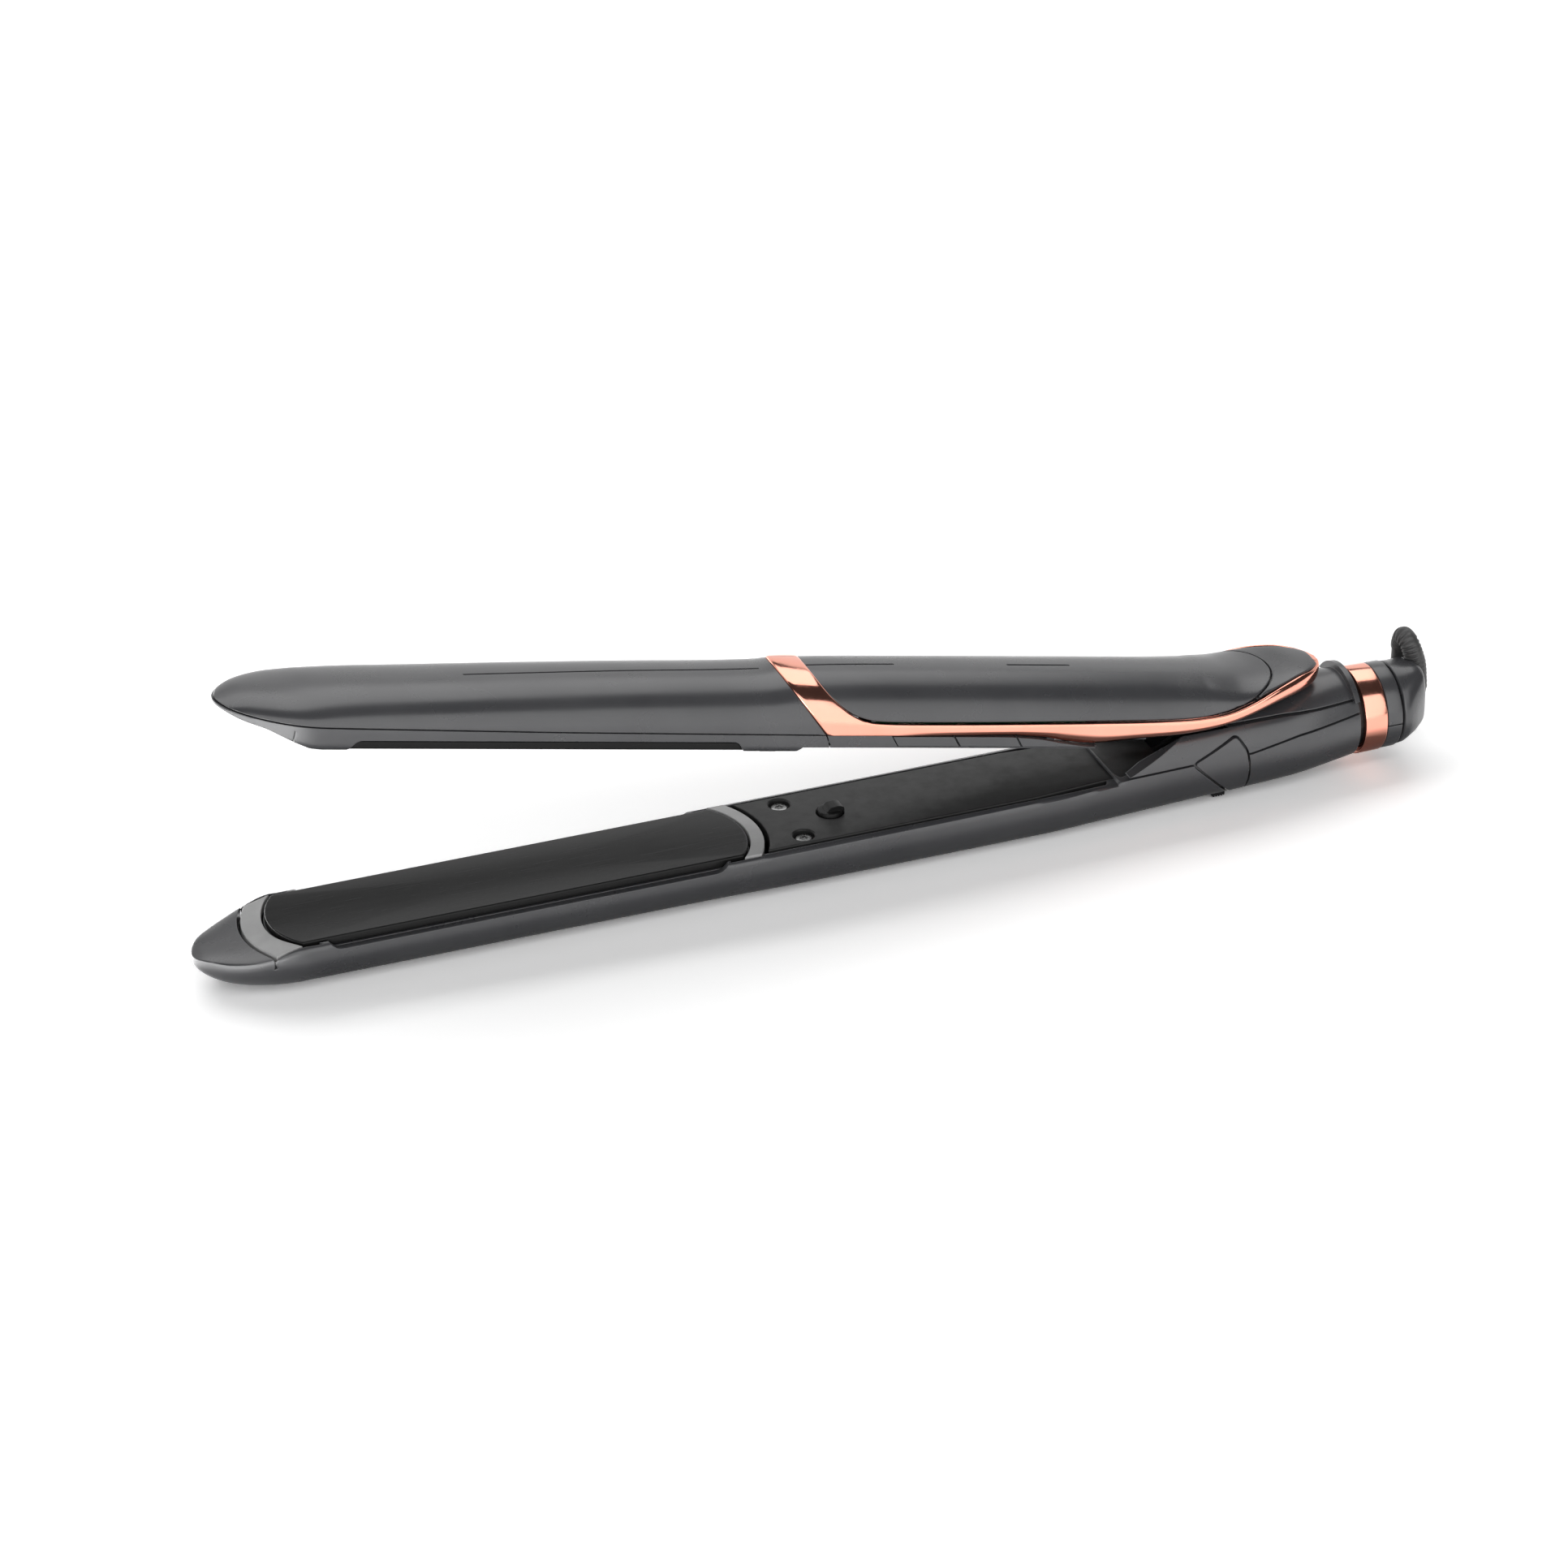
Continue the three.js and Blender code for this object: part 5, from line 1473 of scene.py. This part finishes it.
# Nodes whose CAD shape is right already, and what each is made of.
KEPT_NODES = {
    "lower_plate_carrier": "soft_touch", "upper_plate_carrier": "soft_touch",
    "lower_heater": "heater_ceramic", "upper_heater": "heater_ceramic",
    "lower_float_spring": "steel", "upper_float_spring": "steel",
    "hinge_pin": "steel", "hinge_spring": "steel", "hinge_lug": "inner_plastic",
    "cord_socket": "inner_plastic", "lower_lead": "rubber", "upper_lead": "rubber",
    "circuit_board": "board", "power_button_switch": "inner_plastic",
    "mode_button_front_switch": "inner_plastic", "mode_button_rear_switch": "inner_plastic",
}


def paint_kept_nodes():
    """Gives the CAD nodes that stay their materials."""
    for node, slot in KEPT_NODES.items():
        obj = frame["nodes"][node]
        if not obj.material_slots:
            obj.data.materials.append(MATERIALS[slot])
        for place in obj.material_slots:
            place.material = MATERIALS[slot]


# ---------------------------------------------------------------- stage
# Each light: name, direction it comes from (azimuth from +X towards +Y, elevation), distance, size, radiance.
PANELS = [
    ("key_softbox", (90, 58), 1.0, (1.6, 0.8), 2.0),
    ("front_panel", (-90, 28), 1.2, (2.0, 1.3), 1.8),
    ("nose_panel", (-150, 6), 1.1, (1.0, 0.3), 2.4),
]
LIGHT_TARGET = (-0.03, 0.0, 0.02)
# What shiny pieces see: a bright sweep behind the object up to this height, and dark above it.
BACK_SWEEP = 1.05
BACK_SWEEP_TOP = 0.43
WORLD_GLOSSY = 0.05
WORLD_DIFFUSE = 0.15
# The floor's shade to the camera and to diffuse light; its painted reflection, which only shiny pieces see
# (steep and grazing: painted shade at steep angles, painted brightness at grazing ones); where it fades into
# the white background; and the painted glow it has in reflections under the noses, which stands in for a
# reflector (from x, to x, from share, to share).
FLOOR_SEEN = 1.36
FLOOR_SHADE = 0.8
FLOOR_PAINTED_REFLECTION = (1.6, 0.25)
FLOOR_FADE = (0.5, 1.0)
NOSE_PAINTED_GLOW = (-0.145, -0.183, 1.0, 4.2)


def towards(azimuth, elevation):
    """The unit vector that points that way, in degrees."""
    a, e = math.radians(azimuth), math.radians(elevation)
    return Vector((math.cos(a) * math.cos(e), math.sin(a) * math.cos(e), math.sin(e)))


def set_facing(obj, target, direction, distance):
    """Puts a light or camera some way off in a direction, looking back at the target."""
    away = towards(*direction)
    obj.location = Vector(target) + away * distance
    obj.rotation_mode = "QUATERNION"
    obj.rotation_quaternion = away.to_track_quat("Z", "Y")
    bpy.context.scene.collection.objects.link(obj)


def panel_light(name, direction, distance, size, radiance):
    """A soft rectangular light, hidden from the camera."""
    light = bpy.data.lights.new(name, "AREA")
    light.shape = "RECTANGLE"
    light.size, light.size_y = size
    light.energy = radiance * math.pi * size[0] * size[1]
    obj = bpy.data.objects.new(name, light)
    obj.visible_camera = False
    set_facing(obj, LIGHT_TARGET, direction, distance)


def make_world():
    """White to the camera; shiny pieces see a bright sweep low behind the object and dark above it."""
    world = bpy.data.worlds.new("studio")
    world.use_nodes = True
    tree = world.node_tree
    ray = add(tree, "LightPath")
    parts = add(tree, "SeparateXYZ", {"Vector": add(tree, "TexCoord").outputs["Generated"]})
    low = remap(tree, parts.outputs["Z"], BACK_SWEEP_TOP - 0.03, BACK_SWEEP_TOP + 0.03, 1.0, 0.0)
    sweep = maths(tree, "MULTIPLY", low, remap(tree, parts.outputs["Y"], 0.1, 0.3))
    glossy = blend_colour(tree, sweep, grey(WORLD_GLOSSY), grey(BACK_SWEEP))
    shade = blend_colour(tree, ray.outputs["Is Glossy Ray"], grey(WORLD_DIFFUSE), glossy)
    shade = blend_colour(tree, ray.outputs["Is Camera Ray"], shade, grey(1.0))
    put(tree, tree.nodes["Background"].inputs["Color"], shade)
    bpy.context.scene.world = world


def floor_material():
    """Pale paper, which shades differently to the camera; shiny pieces see a painted reflection of it, with
    painted shade at steep angles and a painted glow under the noses.
    """
    material = bpy.data.materials.new("pale_paper")
    material.use_nodes = True
    tree = material.node_tree
    tree.nodes.remove(tree.nodes["Principled BSDF"])
    ray = add(tree, "LightPath")
    place = add(tree, "NewGeometry").outputs["Position"]
    facing = maths(tree, "SUBTRACT", 1.0, add(tree, "LayerWeight", {"Blend": 0.5}).outputs["Facing"])
    # Painted reflection: to shiny pieces the floor is painted bright at grazing angles and dark at steep
    # ones, which stands in for shade near the object.
    mirrored = blend_colour(tree, remap(tree, facing, 0.5, 0.78), *(grey(v) for v in FLOOR_PAINTED_REFLECTION))
    # Painted glow: under the noses the floor is painted brighter in reflections only, which stands in for a
    # reflector that lights the noses.
    nose_glow_paint = remap(tree, add(tree, "SeparateXYZ", {"Vector": place}).outputs["X"], *NOSE_PAINTED_GLOW)
    mirrored = blend_colour(tree, 1.0, mirrored, nose_glow_paint, "MULTIPLY")
    shade = blend_colour(tree, ray.outputs["Is Glossy Ray"], grey(FLOOR_SHADE), mirrored)
    shade = blend_colour(tree, ray.outputs["Is Camera Ray"], shade, grey(FLOOR_SEEN))
    paper = add(tree, "BsdfDiffuse", {"Color": shade})
    glow = add(tree, "Emission", {"Color": grey(1.0), "Strength": 1.0})
    reach = add(tree, "VectorMath", {0: place}, operation="LENGTH").outputs["Value"]
    far = maths(tree, "MULTIPLY", remap(tree, reach, *FLOOR_FADE), ray.outputs["Is Camera Ray"])
    sheet = add(tree, "MixShader", {0: far, 1: paper.outputs["BSDF"], 2: glow.outputs["Emission"]})
    put(tree, tree.nodes["Material Output"].inputs["Surface"], sheet.outputs["Shader"])
    return material


def make_floor():
    """A wide pale sheet at rest height."""
    edge = [-3.0, -1.0, -0.4, 0.0, 0.4, 1.0, 3.0]
    n = len(edge)
    faces = [(j * n + i, j * n + i + 1, (j + 1) * n + i + 1, (j + 1) * n + i)
             for j in range(n - 1) for i in range(n - 1)]
    mesh = bpy.data.meshes.new("studio_floor")
    mesh.from_pydata([(x, y, 0.0) for y in edge for x in edge], [], faces)
    mesh.materials.append(floor_material())
    floor = bpy.data.objects.new("studio_floor", mesh)
    bpy.context.scene.collection.objects.link(floor)


CAMERA_DIRECTION = (-111.78, 29.3)
CAMERA_DISTANCE = 1.6
CAMERA_TARGET = (-0.0269, 0.0, 0.0249)
CAMERA_LENS = 153.65


def make_camera():
    data = bpy.data.cameras.new("camera")
    data.lens = CAMERA_LENS
    data.sensor_width = 36.0
    data.clip_start, data.clip_end = 0.05, 20.0
    camera = bpy.data.objects.new("camera", data)
    set_facing(camera, CAMERA_TARGET, CAMERA_DIRECTION, CAMERA_DISTANCE)
    bpy.context.scene.camera = camera


def make_stage():
    for settings in PANELS:
        panel_light(*settings)
    make_world()
    make_floor()
    make_camera()
    bpy.context.scene.view_settings.view_transform = "Standard"


build_plates()
build_arms()
paint_kept_nodes()
make_stage()
bpy.data.collections.remove(workbench)
